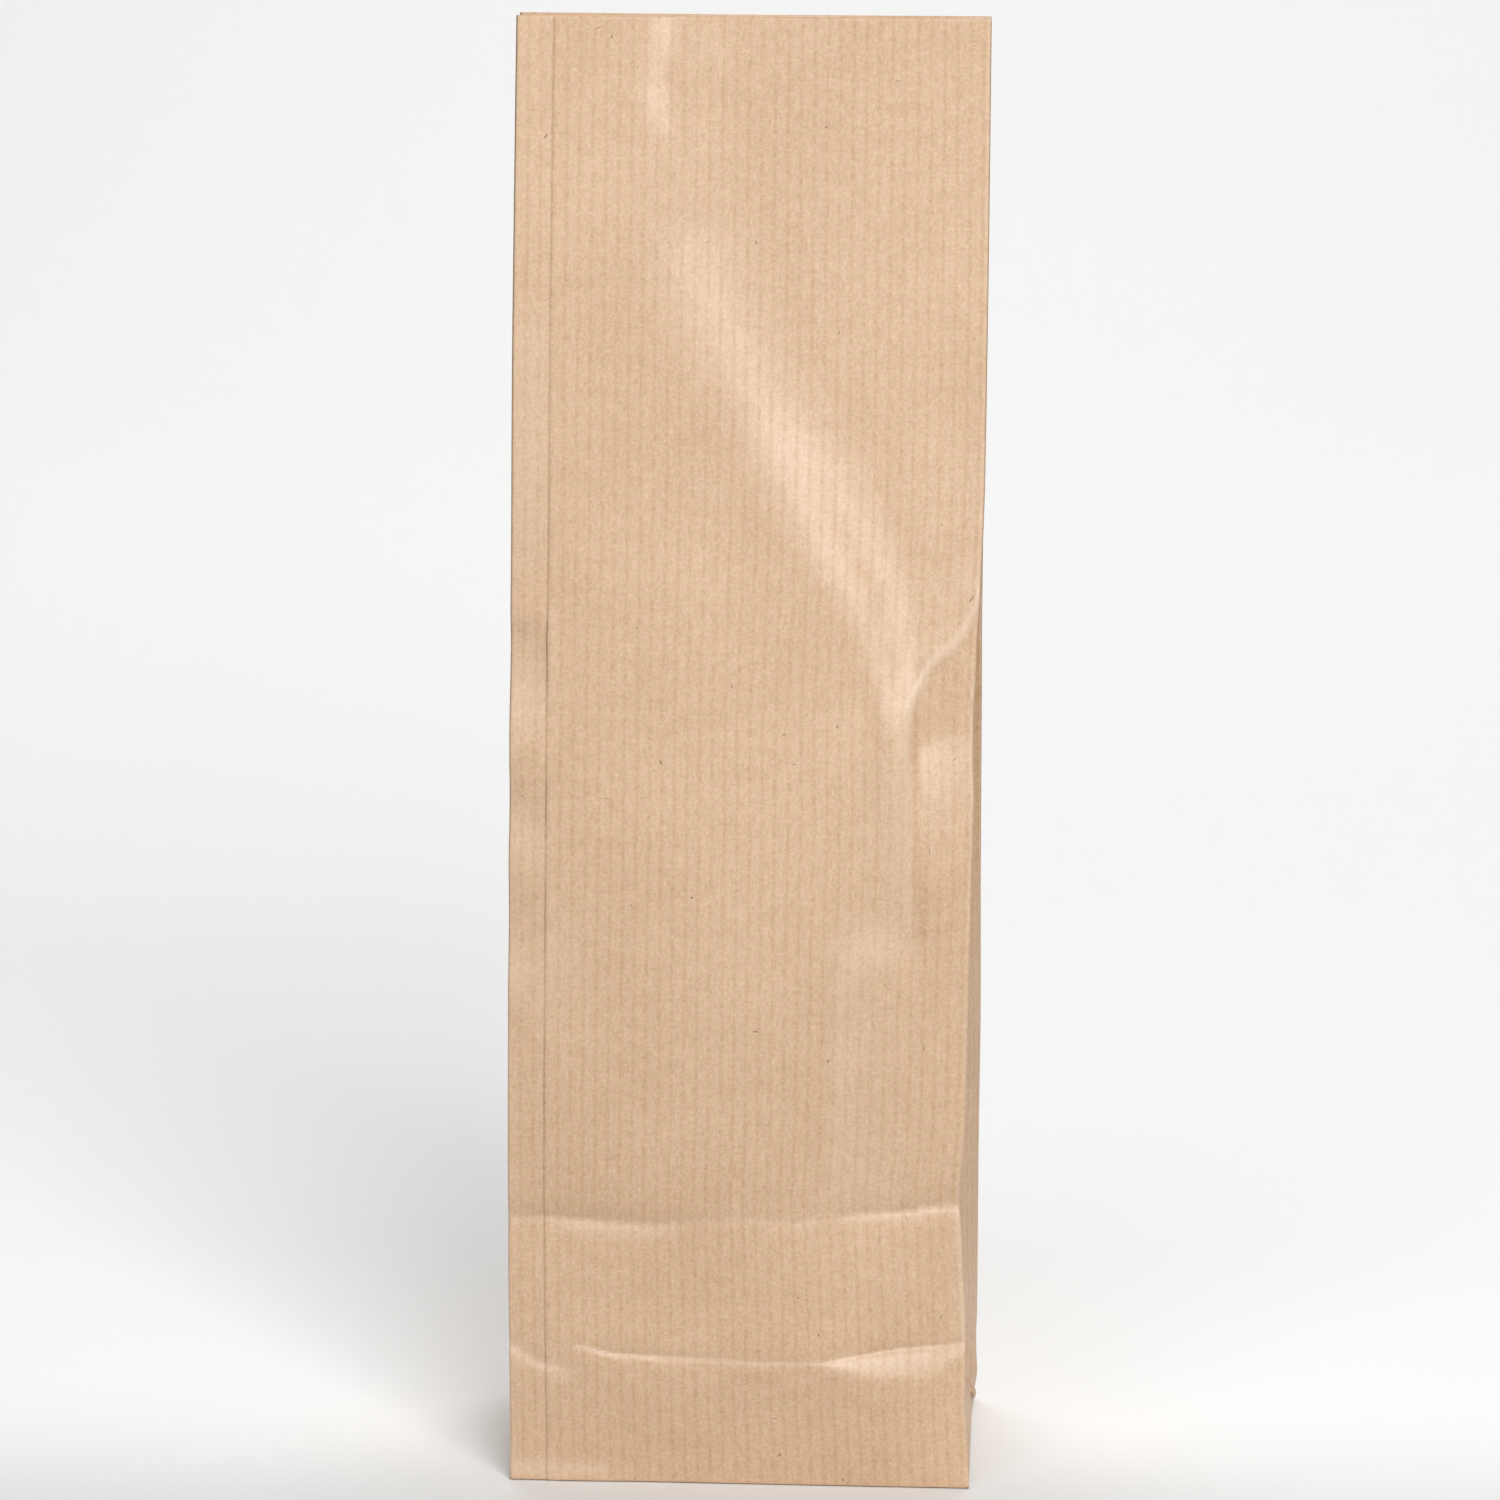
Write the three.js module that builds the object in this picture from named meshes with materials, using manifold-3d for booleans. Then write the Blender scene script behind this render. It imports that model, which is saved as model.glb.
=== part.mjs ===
// A tall block-bottom paper bag: one sheet of ribbed kraft paper, glued into a
// gusseted tube, folded shut into a flat rectangular bottom and left open at
// the mouth. It stands on its bottom with the mouth nearly pressed together.
//
// Millimetres, +Z up. Origin: middle of the bottom, on the surface it stands
// on. -Y is the panel with the lengthwise glue seam, +X is to its right.
import * as THREE from 'three';
import Module from 'manifold-3d';
import { mergeVertices } from 'three/addons/utils/BufferGeometryUtils.js';

// ---- driving dimensions ----------------------------------------------------
const WIDTH = 80;           // panel width, fold to fold
const DEPTH = 50;           // bottom depth, also the unfolded side gusset
const HEIGHT = 252;         // standing height
const PAPER = 0.1;          // one layer of paper
const SEAM_FROM_EDGE = 6.4; // left fold to the outer cut edge of the glue seam
const SEAM_OVERLAP = 10;    // width of the glued double layer
const FLAP = 33;            // length of each bottom flap, from fold to cut edge
const FOLD_STEP = 1.5;      // first point on a panel beside a fold
const CREASE_STEP = 1.0;    // first point on a gusset beside its middle crease
const MITRE = 1.6;          // longest reach of a fold, in half thicknesses
const DENT = 2.3;           // depth of the dent in the right front fold

// ---- the four long folds along the height: [z, value] ------------------------
const X_FRONT_LEFT = [[0, -39.95], [28, -40], [54, -40.2], [100, -40.05],
  [154, -39.98], [205, -40.12], [252, -40]];
const X_FRONT_RIGHT = [[0, 39.9], [9, 39.4], [16, 38.85], [30.5, 38.75], [45, 37.9],
  [52, 37.45], [59, 37.9], [80, 38.45], [107, 38.8], [121, 39.05], [135, 38.75],
  [155, 39.55], [175, 40.08], [252, 40.05]];
const X_BACK_RIGHT = [[0, 40.7], [9.5, 40.2], [17, 40.6], [50, 40.4], [100, 40.15],
  [152, 39.8], [252, 39.95]];
const X_BACK_LEFT = [[0, -40], [60, -39.7], [160, -39.9], [252, -40]];
const Y_BACK_RIGHT = [[0, 25], [25, 24.7], [50, 24.1], [70, 22.6], [84, 19.8],
  [98, 16.4], [112, 12.6], [130, 8], [150, 3.6], [164, 1.4], [180, 0.2],
  [210, 0.4], [235, 1.8], [252, 3.2]];
const Y_BACK_LEFT = [[0, 25], [25, 24.7], [50, 24.1], [70, 23.2], [84, 21.4],
  [98, 19], [112, 16.4], [130, 12.6], [150, 9.2], [164, 7.3], [180, 5.5],
  [210, 3.6], [235, 3.2], [252, 3.2]];

// How far the front panel stands forward of the middle plane, at distances A
// from its left fold, and how far the back bulges beyond its folds, at
// distances B from its right fold: [z, values...]
const A = [0, 15, 30, 45, 60, 70, 80];
const FRONT = [
  [0, 25, 25, 25, 25, 25, 25, 25],
  [10, 25.5, 26, 26.2, 26.2, 26, 25.4, 24.4],
  [22, 26, 27.1, 27.4, 27.4, 27.1, 25.9, 24],
  [34, 25.4, 26, 26.2, 26.2, 25.9, 24.9, 22.8],
  [48, 24.7, 25.2, 25.4, 25.4, 25, 24, 22],
  [70, 24.5, 24.9, 25.1, 25.1, 24.7, 23.8, 22.2],
  [98, 23.3, 23.8, 24, 24, 23.6, 22.8, 21.5],
  [126, 21, 21.4, 21.6, 21.6, 21.1, 20.3, 19.2],
  [150, 18.5, 18.6, 18.6, 18.2, 17.3, 16.5, 15.4],
  [170, 15.9, 15.8, 15.5, 15, 14, 13.1, 12.1],
  [190, 13.2, 13, 12.7, 12, 11, 10.3, 9.5],
  [210, 10, 9.9, 9.6, 9.1, 8.3, 7.8, 7.2],
  [235, 5.9, 5.8, 5.5, 5.2, 5, 4.9, 4.8],
  [252, 3.5, 3.4, 2.8, 2.5, 2.6, 2.9, 3.2],
];
const B = [0, 20, 40, 60, 80];
const BACK = [
  [0, 0, 0, 0, 0, 0],
  [25, 0, 0.5, 0.8, 0.6, 0],
  [50, 0, 1, 1.6, 1.2, 0],
  [84, 0, 1.6, 2.3, 1.8, 0],
  [126, 0, 1.8, 2.5, 1.9, 0],
  [164, 0, 1.3, 1.9, 1.4, 0],
  [210, 0, 0.5, 0.6, 0.4, 0],
  [252, 0, -0.3, -0.5, -0.3, 0.1],
];

// heights of the sections, closer together at the creases and at the dent
const LEVELS = [0, 5, 10, 15, 19, 21.5, 23.3, 25, 27, 30, 34, 40, 44, 46.2, 47.6,
  49.2, 52, 57, 66, 75, 84, 98, 108, 116, 123, 127, 130.5, 134, 138, 142, 146,
  150, 154, 158, 164, 171, 179, 188, 198, 210, 222, 235, 245, HEIGHT];

const HALF_W = WIDTH / 2;
const HALF_D = DEPTH / 2;
const FLOOR = 3 * PAPER;    // bottom layers: side flaps, front flap, back flap
const TUBE_BOTTOM = 2 * PAPER;

// Smooth curve through points, without overshoot.
function curve(q, xs, ys) {
  const n = xs.length, h = [], d = [], m = [];
  for (let i = 0; i + 1 < n; i++) {
    h.push(xs[i + 1] - xs[i]);
    d.push((ys[i + 1] - ys[i]) / h[i]);
  }
  m[0] = d[0];
  m[n - 1] = d[n - 2];
  for (let i = 1; i + 1 < n; i++) {
    const w1 = 2 * h[i] + h[i - 1], w2 = h[i] + 2 * h[i - 1];
    m[i] = d[i - 1] * d[i] > 0 ? (w1 + w2) / (w1 / d[i - 1] + w2 / d[i]) : 0;
  }
  const x = Math.min(Math.max(q, xs[0]), xs[n - 1]);
  let k = 0;
  while (k < n - 2 && x > xs[k + 1]) k++;
  const t = (x - xs[k]) / h[k];
  return (1 + 2 * t) * (1 - t) ** 2 * ys[k] + t * (1 - t) ** 2 * h[k] * m[k]
    + t * t * (3 - 2 * t) * ys[k + 1] + t * t * (t - 1) * h[k] * m[k + 1];
}

const along = (z, rows) => curve(z, rows.map((r) => r[0]), rows.map((r) => r[1]));
const field = (a, z, at, rows) => curve(a, at, at.map((_, j) => curve(
  z, rows.map((r) => r[0]), rows.map((r) => r[j + 1]))));

function linear(q, xs, ys) {
  let k = 0;
  while (k < xs.length - 2 && q > xs[k + 1]) k++;
  const t = Math.min(Math.max((q - xs[k]) / (xs[k + 1] - xs[k]), 0), 1);
  return ys[k] + t * (ys[k + 1] - ys[k]);
}

function fade(t, low, high) {
  const k = Math.min(Math.max((t - low) / (high - low), 0), 1);
  return k * k * (3 - 2 * k);
}

// Distance to a line through points (positive on its left), and how far along
// it the nearest point is.
function toLine(a, z, pts) {
  let best = Infinity, sign = 1, where = 0, run = 0;
  for (let i = 0; i + 1 < pts.length; i++) {
    const [x0, z0] = pts[i], sx = pts[i + 1][0] - x0, sz = pts[i + 1][1] - z0;
    const len = Math.hypot(sx, sz);
    const t = Math.min(Math.max(((a - x0) * sx + (z - z0) * sz) / len ** 2, 0), 1);
    const dist = Math.hypot(a - x0 - t * sx, z - z0 - t * sz);
    if (dist < best) {
      best = dist;
      sign = Math.sign(sx * (z - z0) - sz * (a - x0));
      where = run + t * len;
    }
    run += len;
  }
  return [best * sign, where / run];
}

// Creases and dents of the front panel, outward: the long bend from the upper
// left to the right fold, the dent in that fold, the mark of the bottom's edge
// at one bottom depth, and the crease at half of it with the lens beside it.
const BEND = [[24, 222], [32, 208], [40, 193], [47, 182], [53.5, 172.5],
  [58.5, 163.8], [62.8, 156.2], [66.2, 150], [68.5, 145]];
const BEND_DROP = [0.3, 0.7, 0.9, 1.1, 1.7, 2.4, 2.7, 2.3, 1.2];
const BEND_WIDTH = [6, 5.8, 5, 4.8, 5.6, 6.2, 5.4, 4, 3];
const EDGE_MARK = [[-3, 47], [7.4, 47.4], [16.3, 46.9], [25.2, 46.5], [34, 47.4],
  [48.2, 47.6], [62.4, 49.1], [83, 50.1]];
const HALF_MARK = [[11, 25.1], [19.3, 23.6], [33.4, 23.3], [44, 22.8], [54.5, 23],
  [59.8, 23.8], [68.5, 24.8], [82, 26.2]];

function relief(a, z) {
  let r = 0;
  let [d, t] = toLine(a, z, BEND);
  const steps = BEND_DROP.map((_, i) => i / (BEND_DROP.length - 1));
  const w = linear(t, steps, BEND_WIDTH);
  r -= linear(t, steps, BEND_DROP) * 0.5 * Math.tanh(d / w)
    * Math.exp(-Math.max(Math.abs(d) - 2 * w, 0) / (4 * w))
    * fade(t, 0, 0.12) * (1 - fade(t, 0.9, 1));
  if (a > 68.4) {
    const valley = 129.6 + 0.17 * (a - 69.5);
    const top = linear(a, [68.4, 70.3, 72.4, 76.2, 78.4, 80.5],
      [131, 140.5, 144.4, 147.6, 151.2, 156.5]);
    const low = linear(a, [68.4, 72, 80.5], [125, 116, 108]);
    const roof = Math.min(Math.max((top - z) / Math.max(top - valley, 0.5), 0), 1);
    const sill = Math.min(Math.max((z - low) / Math.max(valley - low, 0.5), 0), 1);
    r -= DENT * fade(a, 68.2, 71) * (1 - 0.22 * fade(a, 73.5, 80.5))
      * (z > valley ? roof ** 0.9 : sill ** 1.25);
  }
  [d] = toLine(a, z, EDGE_MARK);
  r -= linear(a, [0, 6, 14, 25, 34, 54, 62, 74, 80],
    [0.85, 1.15, 1.5, 1, 0.35, 0.34, 1, 1.2, 1.05])
    * Math.exp(-Math.abs(d) / (d > 0 ? 3.2 : 2.3));
  [d] = toLine(a, z, HALF_MARK);
  r -= linear(a, [10, 14, 20, 27, 34, 60, 80], [0.1, 0.5, 0.8, 0.7, 0.4, 0.4, 0.4])
    * Math.exp(-Math.abs(d) / (d > 0 ? 1.6 : 0.55)) * fade(a, 10, 13);
  const lens = linear(a, [54, 58, 65, 69, 74, 80], [0, 0.6, 1.9, 2.1, 1.7, 0.5]);
  const under = linear(a, [54, 59.8, 65.1, 68.6, 73.8, 80], [22.6, 21, 18.9, 18.6, 19.8, 24]);
  const above = linear(a, [54, 59.8, 68.5, 77.3, 80], [23, 23.8, 24.8, 25.5, 25.9]);
  const q = (z - under) / Math.max(above - under, 0.5);
  if (q > 0) r -= lens * (q < 1 ? q ** 1.1 : Math.exp(-(q - 1) * (above - under) / 11));
  return r;
}

// Points of the two panels' middle surfaces at one height, as [x, y].
function front(a, z) {
  const xl = along(z, X_FRONT_LEFT), xr = along(z, X_FRONT_RIGHT);
  const r = z > 0 ? relief(a, z) : 0;
  return [xl + (xr - xl) * a / WIDTH, -(field(a, z, A, FRONT) + r)];
}

function back(b, z) {
  const xr = along(z, X_BACK_RIGHT), xl = along(z, X_BACK_LEFT);
  const yr = along(z, Y_BACK_RIGHT), yl = along(z, Y_BACK_LEFT), k = b / WIDTH;
  return [xr + (xl - xr) * k, yr + (yl - yr) * k + field(b, z, B, BACK)];
}

const lerp = (p, q, k) => [p[0] + (q[0] - p[0]) * k, p[1] + (q[1] - p[1]) * k];

// The middle crease of a gusset. The gusset keeps its paper length, so the
// crease goes in as the panels draw together.
function creaseAt(p, q) {
  const dx = q[0] - p[0], dy = q[1] - p[1], half = Math.hypot(dx, dy) / 2;
  const inset = Math.sqrt(Math.max(HALF_D ** 2 - half ** 2, 0)) + 0.35;
  const m = lerp(p, q, 0.5);
  return [m[0] - dy / (2 * half) * inset, m[1] + dx / (2 * half) * inset];
}

// Middle line of the paper at one height, as points with a kind, running
// counter-clockwise seen from above.
function section(z) {
  const pts = [];
  const as = [0, FOLD_STEP, SEAM_FROM_EDGE, SEAM_FROM_EDGE + SEAM_OVERLAP, 27, 38, 48,
    56, 62, 66, 68.8, 71.5, 75.5, WIDTH - FOLD_STEP, WIDTH];
  as.forEach((a, i) => {
    const [x, y] = front(a, z);
    pts.push({ x, y, a, fold: i === 0 || i === as.length - 1,
      seam: i === 2 ? 'outer' : i === 3 ? 'inner' : null, front: true });
  });
  const foldsAt = (side, zz) => (side > 0
    ? [front(WIDTH, zz), back(0, zz)] : [back(WIDTH, zz), front(0, zz)]);
  const gusset = (side) => {
    const [p, q] = foldsAt(side, z);
    const put = ([x, y], fold) => pts.push({ x, y, fold });
    if (z >= HALF_D) {
      const c = creaseAt(p, q);
      const first = FOLD_STEP / HALF_D, last = 1 - CREASE_STEP / HALF_D;
      put(lerp(p, c, first)); put(lerp(p, c, last)); put(c, true);
      put(lerp(q, c, last)); put(lerp(q, c, first));
      return;
    }
    // below the crease point the gusset opens along two diagonals, which run
    // from the bottom corners up to that point
    const [p0, q0] = foldsAt(side, 0);
    const tip = creaseAt(...foldsAt(side, HALF_D));
    const k = z / HALF_D, start = FOLD_STEP / DEPTH;
    const d1 = z > 0 ? lerp(p0, tip, k) : lerp(p0, q0, start);
    const d2 = z > 0 ? lerp(q0, tip, k) : lerp(p0, q0, 1 - start);
    put(lerp(p, d1, 0.5)); put(d1); put(lerp(d1, d2, 0.5)); put(d2); put(lerp(q, d2, 0.5));
  };
  gusset(1);
  const bs = [0, FOLD_STEP, 15, 28, 40, 52, 65, WIDTH - FOLD_STEP, WIDTH];
  bs.forEach((b, i) => {
    const [x, y] = back(b, z);
    pts.push({ x, y, fold: i === 0 || i === bs.length - 1 });
  });
  gusset(-1);
  return pts;
}

// Unit normals that point out of the tube, with a limited mitre at the folds.
function offsets(pts) {
  const n = pts.length;
  return pts.map((p, i) => {
    const a = pts[(i + n - 1) % n], b = pts[(i + 1) % n];
    const u = new THREE.Vector2(p.x - a.x, p.y - a.y).normalize();
    const v = new THREE.Vector2(b.x - p.x, b.y - p.y).normalize();
    const m = new THREE.Vector2(u.y + v.y, -(u.x + v.x));
    const len = m.length();
    if (len < 1e-6) return new THREE.Vector2(u.x, u.y).multiplyScalar(MITRE);
    m.divideScalar(len);
    const cos = m.x * u.y - m.y * u.x;
    const reach = Math.min(1 / Math.max(cos, 1e-3), MITRE);
    return m.multiplyScalar(reach);
  });
}

// Outer and inner loop of the paper at one height. Left of the seam the paper
// is the under layer; right of it the over layer lies one thickness further
// out, and it works back to the middle line across the panel.
function loops(z, zOut, zIn) {
  const pts = section(z);
  const nrm = offsets(pts);
  const t = PAPER / 2;
  const end = SEAM_FROM_EDGE + SEAM_OVERLAP;
  const outer = [], inner = [];
  const at = (p, n, d, zz) => [p.x + n.x * d, p.y + n.y * d, zz];
  pts.forEach((p, i) => {
    const n = nrm[i];
    if (p.seam === 'outer') {
      outer.push(at(p, n, t, zOut), at(p, n, t + PAPER, zOut));
      inner.push(at(p, n, -t, zIn));
    } else if (p.seam === 'inner') {
      outer.push(at(p, n, t + PAPER, zOut));
      inner.push(at(p, n, -t, zIn), at(p, n, -t + PAPER, zIn));
    } else {
      const lift = p.front && p.a > end && !p.fold
        ? PAPER * (WIDTH - p.a) / (WIDTH - end) : 0;
      outer.push(at(p, n, t + lift, zOut));
      inner.push(at(p, n, -t + lift, zIn));
    }
  });
  return { outer, inner };
}

function buildTube() {
  const positions = [], index = [];
  const addLoop = (loop) => {
    const start = positions.length / 3;
    loop.forEach((q) => positions.push(...q));
    return start;
  };
  const outers = [], inners = [];
  let nO = 0, nI = 0;
  for (const z of LEVELS) {
    const l = loops(z, z === 0 ? TUBE_BOTTOM : z, z === 0 ? FLOOR : z);
    nO = l.outer.length; nI = l.inner.length;
    outers.push(addLoop(l.outer));
    inners.push(addLoop(l.inner));
  }
  const wall = (a, b, n, out) => {
    for (let i = 0; i < n; i++) {
      const j = (i + 1) % n;
      if (out) index.push(a + i, a + j, b + j, a + i, b + j, b + i);
      else index.push(a + i, b + j, a + j, a + i, b + i, b + j);
    }
  };
  for (let k = 1; k < LEVELS.length; k++) {
    wall(outers[k - 1], outers[k], nO, true);
    wall(inners[k - 1], inners[k], nI, false);
  }
  const loop2 = (start, n) => Array.from({ length: n }, (_, i) => new THREE.Vector2(
    positions[3 * (start + i)], positions[3 * (start + i) + 1]));
  // the cut edge of the mouth, one flat ring
  const top = LEVELS.length - 1;
  const rim = THREE.ShapeUtils.triangulateShape(
    loop2(outers[top], nO), [loop2(inners[top], nI).reverse()]);
  const rimIndex = (i) => (i < nO ? outers[top] + i : inners[top] + (nI - 1 - (i - nO)));
  rim.forEach(([a, b, c]) => index.push(rimIndex(a), rimIndex(b), rimIndex(c)));
  // the underside of the side flaps, and the floor inside
  THREE.ShapeUtils.triangulateShape(loop2(outers[0], nO), [])
    .forEach(([a, b, c]) => index.push(outers[0] + c, outers[0] + b, outers[0] + a));
  THREE.ShapeUtils.triangulateShape(loop2(inners[0], nI), [])
    .forEach(([a, b, c]) => index.push(inners[0] + a, inners[0] + b, inners[0] + c));
  const g = new THREE.BufferGeometry();
  g.setAttribute('position', new THREE.Float32BufferAttribute(positions, 3));
  g.setIndex(index);
  return g;
}

// A bottom flap: a trapezoid folded in from one long edge of the bottom, with
// its slanted folds at 45 degrees from the corners.
function flap(sign, z0, z1) {
  const shape = new THREE.Shape([
    new THREE.Vector2(-HALF_W, sign * HALF_D),
    new THREE.Vector2(HALF_W, sign * HALF_D),
    new THREE.Vector2(HALF_W - FLAP, sign * (HALF_D - FLAP)),
    new THREE.Vector2(-HALF_W + FLAP, sign * (HALF_D - FLAP))]);
  const g = new THREE.ExtrudeGeometry(shape, { depth: z1 - z0, bevelEnabled: false, steps: 1 });
  g.translate(0, 0, z0);
  return g;
}

const wasm = await Module();
wasm.setup();

function solid(geometry) {
  const bare = geometry.clone();
  for (const name of Object.keys(bare.attributes)) {
    if (name !== 'position') bare.deleteAttribute(name);
  }
  const m = mergeVertices(bare, 1e-4);
  const s = new wasm.Manifold(new wasm.Mesh({
    numProp: 3,
    vertProperties: new Float32Array(m.attributes.position.array),
    triVerts: new Uint32Array(m.index.array) }));
  return s;
}

function geometryOf(manifold) {
  const mesh = manifold.getMesh();
  const g = new THREE.BufferGeometry();
  const p = new Float32Array(mesh.numVert * 3);
  for (let i = 0; i < mesh.numVert; i++) {
    for (let k = 0; k < 3; k++) p[3 * i + k] = mesh.vertProperties[i * mesh.numProp + k];
  }
  g.setAttribute('position', new THREE.BufferAttribute(p, 3));
  g.setIndex(new THREE.BufferAttribute(new Uint32Array(mesh.triVerts), 1));
  g.computeVertexNormals();
  return g;
}

const lap = PAPER / 2;
let sheet = solid(buildTube());
sheet = sheet.add(solid(flap(-1, PAPER, TUBE_BOTTOM + lap)));
sheet = sheet.add(solid(flap(1, 0, TUBE_BOTTOM + lap)));

const kraft = new THREE.MeshStandardMaterial({
  color: new THREE.Color(0xd9b692), roughness: 0.72, metalness: 0.0 });
const bag = new THREE.Mesh(geometryOf(sheet), kraft);
bag.name = 'paper_bag';

const group = new THREE.Group();
group.add(bag);
export default group;
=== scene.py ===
import math

import bpy
import numpy as np
from mathutils import Matrix, Vector, geometry


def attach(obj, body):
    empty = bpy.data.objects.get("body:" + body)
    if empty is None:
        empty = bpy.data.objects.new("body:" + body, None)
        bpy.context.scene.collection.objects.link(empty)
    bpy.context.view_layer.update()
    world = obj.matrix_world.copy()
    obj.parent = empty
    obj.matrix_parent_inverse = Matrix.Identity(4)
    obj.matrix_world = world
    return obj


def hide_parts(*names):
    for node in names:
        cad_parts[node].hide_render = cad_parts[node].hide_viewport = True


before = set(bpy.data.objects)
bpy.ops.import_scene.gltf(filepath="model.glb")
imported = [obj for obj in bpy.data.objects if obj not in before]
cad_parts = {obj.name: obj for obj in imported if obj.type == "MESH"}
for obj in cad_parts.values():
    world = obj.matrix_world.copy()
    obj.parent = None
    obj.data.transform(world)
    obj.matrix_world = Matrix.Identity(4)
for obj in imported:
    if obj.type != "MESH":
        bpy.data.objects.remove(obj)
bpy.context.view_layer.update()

MM = 0.001
rng = np.random.default_rng(20)

# --------------------------------------------------------------------------
# camera and stage
# --------------------------------------------------------------------------
CAM_AZ, CAM_EL, CAM_ROLL = 2.770, 11.723, 0.314      # degrees
CAM_DIST, CAM_F = 950.0, 5528.9                      # mm, pixels of a 1500 frame
CAM_AIM = (0.40, -10.0, 127.31)


def camera():
    a, e, r = (math.radians(v) for v in (CAM_AZ, CAM_EL, CAM_ROLL))
    look = -Vector((math.sin(a) * math.cos(e), -math.cos(a) * math.cos(e), math.sin(e)))
    right = Vector((math.cos(a), math.sin(a), 0.0))
    up = right.cross(look)
    # positive roll leans the object clockwise in the picture
    rr = right * math.cos(r) + up * math.sin(r)
    uu = up * math.cos(r) - right * math.sin(r)
    at = (Vector(CAM_AIM) - look * CAM_DIST) * MM
    data = bpy.data.cameras.new("camera")
    data.sensor_width = 36.0
    data.sensor_fit = "HORIZONTAL"
    data.lens = 36.0 * CAM_F / 1500.0
    data.clip_start, data.clip_end = 0.05, 20.0
    ob = bpy.data.objects.new("camera", data)
    bpy.context.scene.collection.objects.link(ob)
    ob.matrix_world = Matrix((
        (rr.x, uu.x, -look.x, at.x),
        (rr.y, uu.y, -look.y, at.y),
        (rr.z, uu.z, -look.z, at.z),
        (0, 0, 0, 1)))
    bpy.context.scene.camera = ob
    return ob


def add_object(name, verts, faces):
    me = bpy.data.meshes.new(name)
    me.from_pydata([tuple(v) for v in verts], [], [tuple(int(i) for i in f) for f in faces])
    me.update()
    ob = bpy.data.objects.new(name, me)
    bpy.context.scene.collection.objects.link(ob)
    return ob


camera()

# geometry-begin
# --------------------------------------------------------------------------
# the folded sheet: everything below is in millimetres until the mesh is made
# --------------------------------------------------------------------------
W, D, H = 80.0, 50.0, 252.0
T = 0.12                     # paper
SEAM_A, SEAM_END = 6.4, 16.4 # glue seam on the front panel, from its left fold
SEAM_LIFT = 0.07
FLAP = 33.0


def curve(zq, zs, vs):
    """Smooth curve through the points, with no overshoot."""
    zs, vs = np.asarray(zs, float), np.asarray(vs, float)
    h = np.diff(zs)
    d = np.diff(vs) / h
    m = np.zeros_like(vs)
    m[0], m[-1] = d[0], d[-1]
    for i in range(1, len(vs) - 1):
        if d[i - 1] * d[i] > 0:
            w1, w2 = 2 * h[i] + h[i - 1], h[i] + 2 * h[i - 1]
            m[i] = (w1 + w2) / (w1 / d[i - 1] + w2 / d[i])
    zq = np.clip(np.asarray(zq, float), zs[0], zs[-1])
    k = np.clip(np.searchsorted(zs, zq, side="right") - 1, 0, len(h) - 1)
    t = (zq - zs[k]) / h[k]
    return ((1 + 2 * t) * (1 - t) ** 2 * vs[k] + t * (1 - t) ** 2 * h[k] * m[k]
            + t * t * (3 - 2 * t) * vs[k + 1] + t * t * (t - 1) * h[k] * m[k + 1])


# folds along the height: z, then x or y
X_FL = ([0, 10, 28, 38, 54, 100, 130, 154, 205, 235, 252],
        [-39.95, -39.85, -40.0, -40.12, -40.2, -40.05, -40.0, -39.98, -40.12, -40.08, -40.0])
X_FR = ([0, 9, 16, 23, 30.5, 38, 45, 48.5, 52, 56, 59, 66, 80, 94, 107, 121, 128, 135, 141, 148, 155, 166, 175, 208, 252],
        [39.9, 39.4, 38.85, 38.95, 38.75, 38.3, 37.9, 37.6, 37.45, 37.65, 37.9, 38.25, 38.45, 38.6, 38.8, 39.05, 38.78,
         38.75, 39.0, 39.2, 39.55, 39.9, 40.08, 40.15, 40.05])
X_BR = ([0, 2, 5.4, 9.5, 13, 17, 30, 50, 70, 100, 130, 152, 252],
        [40.0, 40.3, 40.7, 40.5, 40.45, 40.55, 40.5, 40.4, 40.45, 40.15, 39.95, 39.8, 39.95])
X_BL = ([0, 20, 60, 110, 160, 252], [-40.0, -39.9, -39.7, -39.8, -39.9, -40.0])
Y_BR = ([0, 25, 50, 70, 84, 98, 112, 130, 150, 164, 180, 210, 235, 252],
        [25, 24.7, 24.1, 22.6, 19.8, 16.4, 12.6, 8.0, 3.6, 1.4, 0.2, 0.4, 1.8, 3.2])
Y_BL = ([0, 25, 50, 70, 84, 98, 112, 130, 150, 164, 180, 210, 235, 252],
        [25, 24.7, 24.1, 23.2, 21.4, 19.0, 16.4, 12.6, 9.2, 7.3, 5.5, 3.6, 3.2, 3.2])

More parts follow.
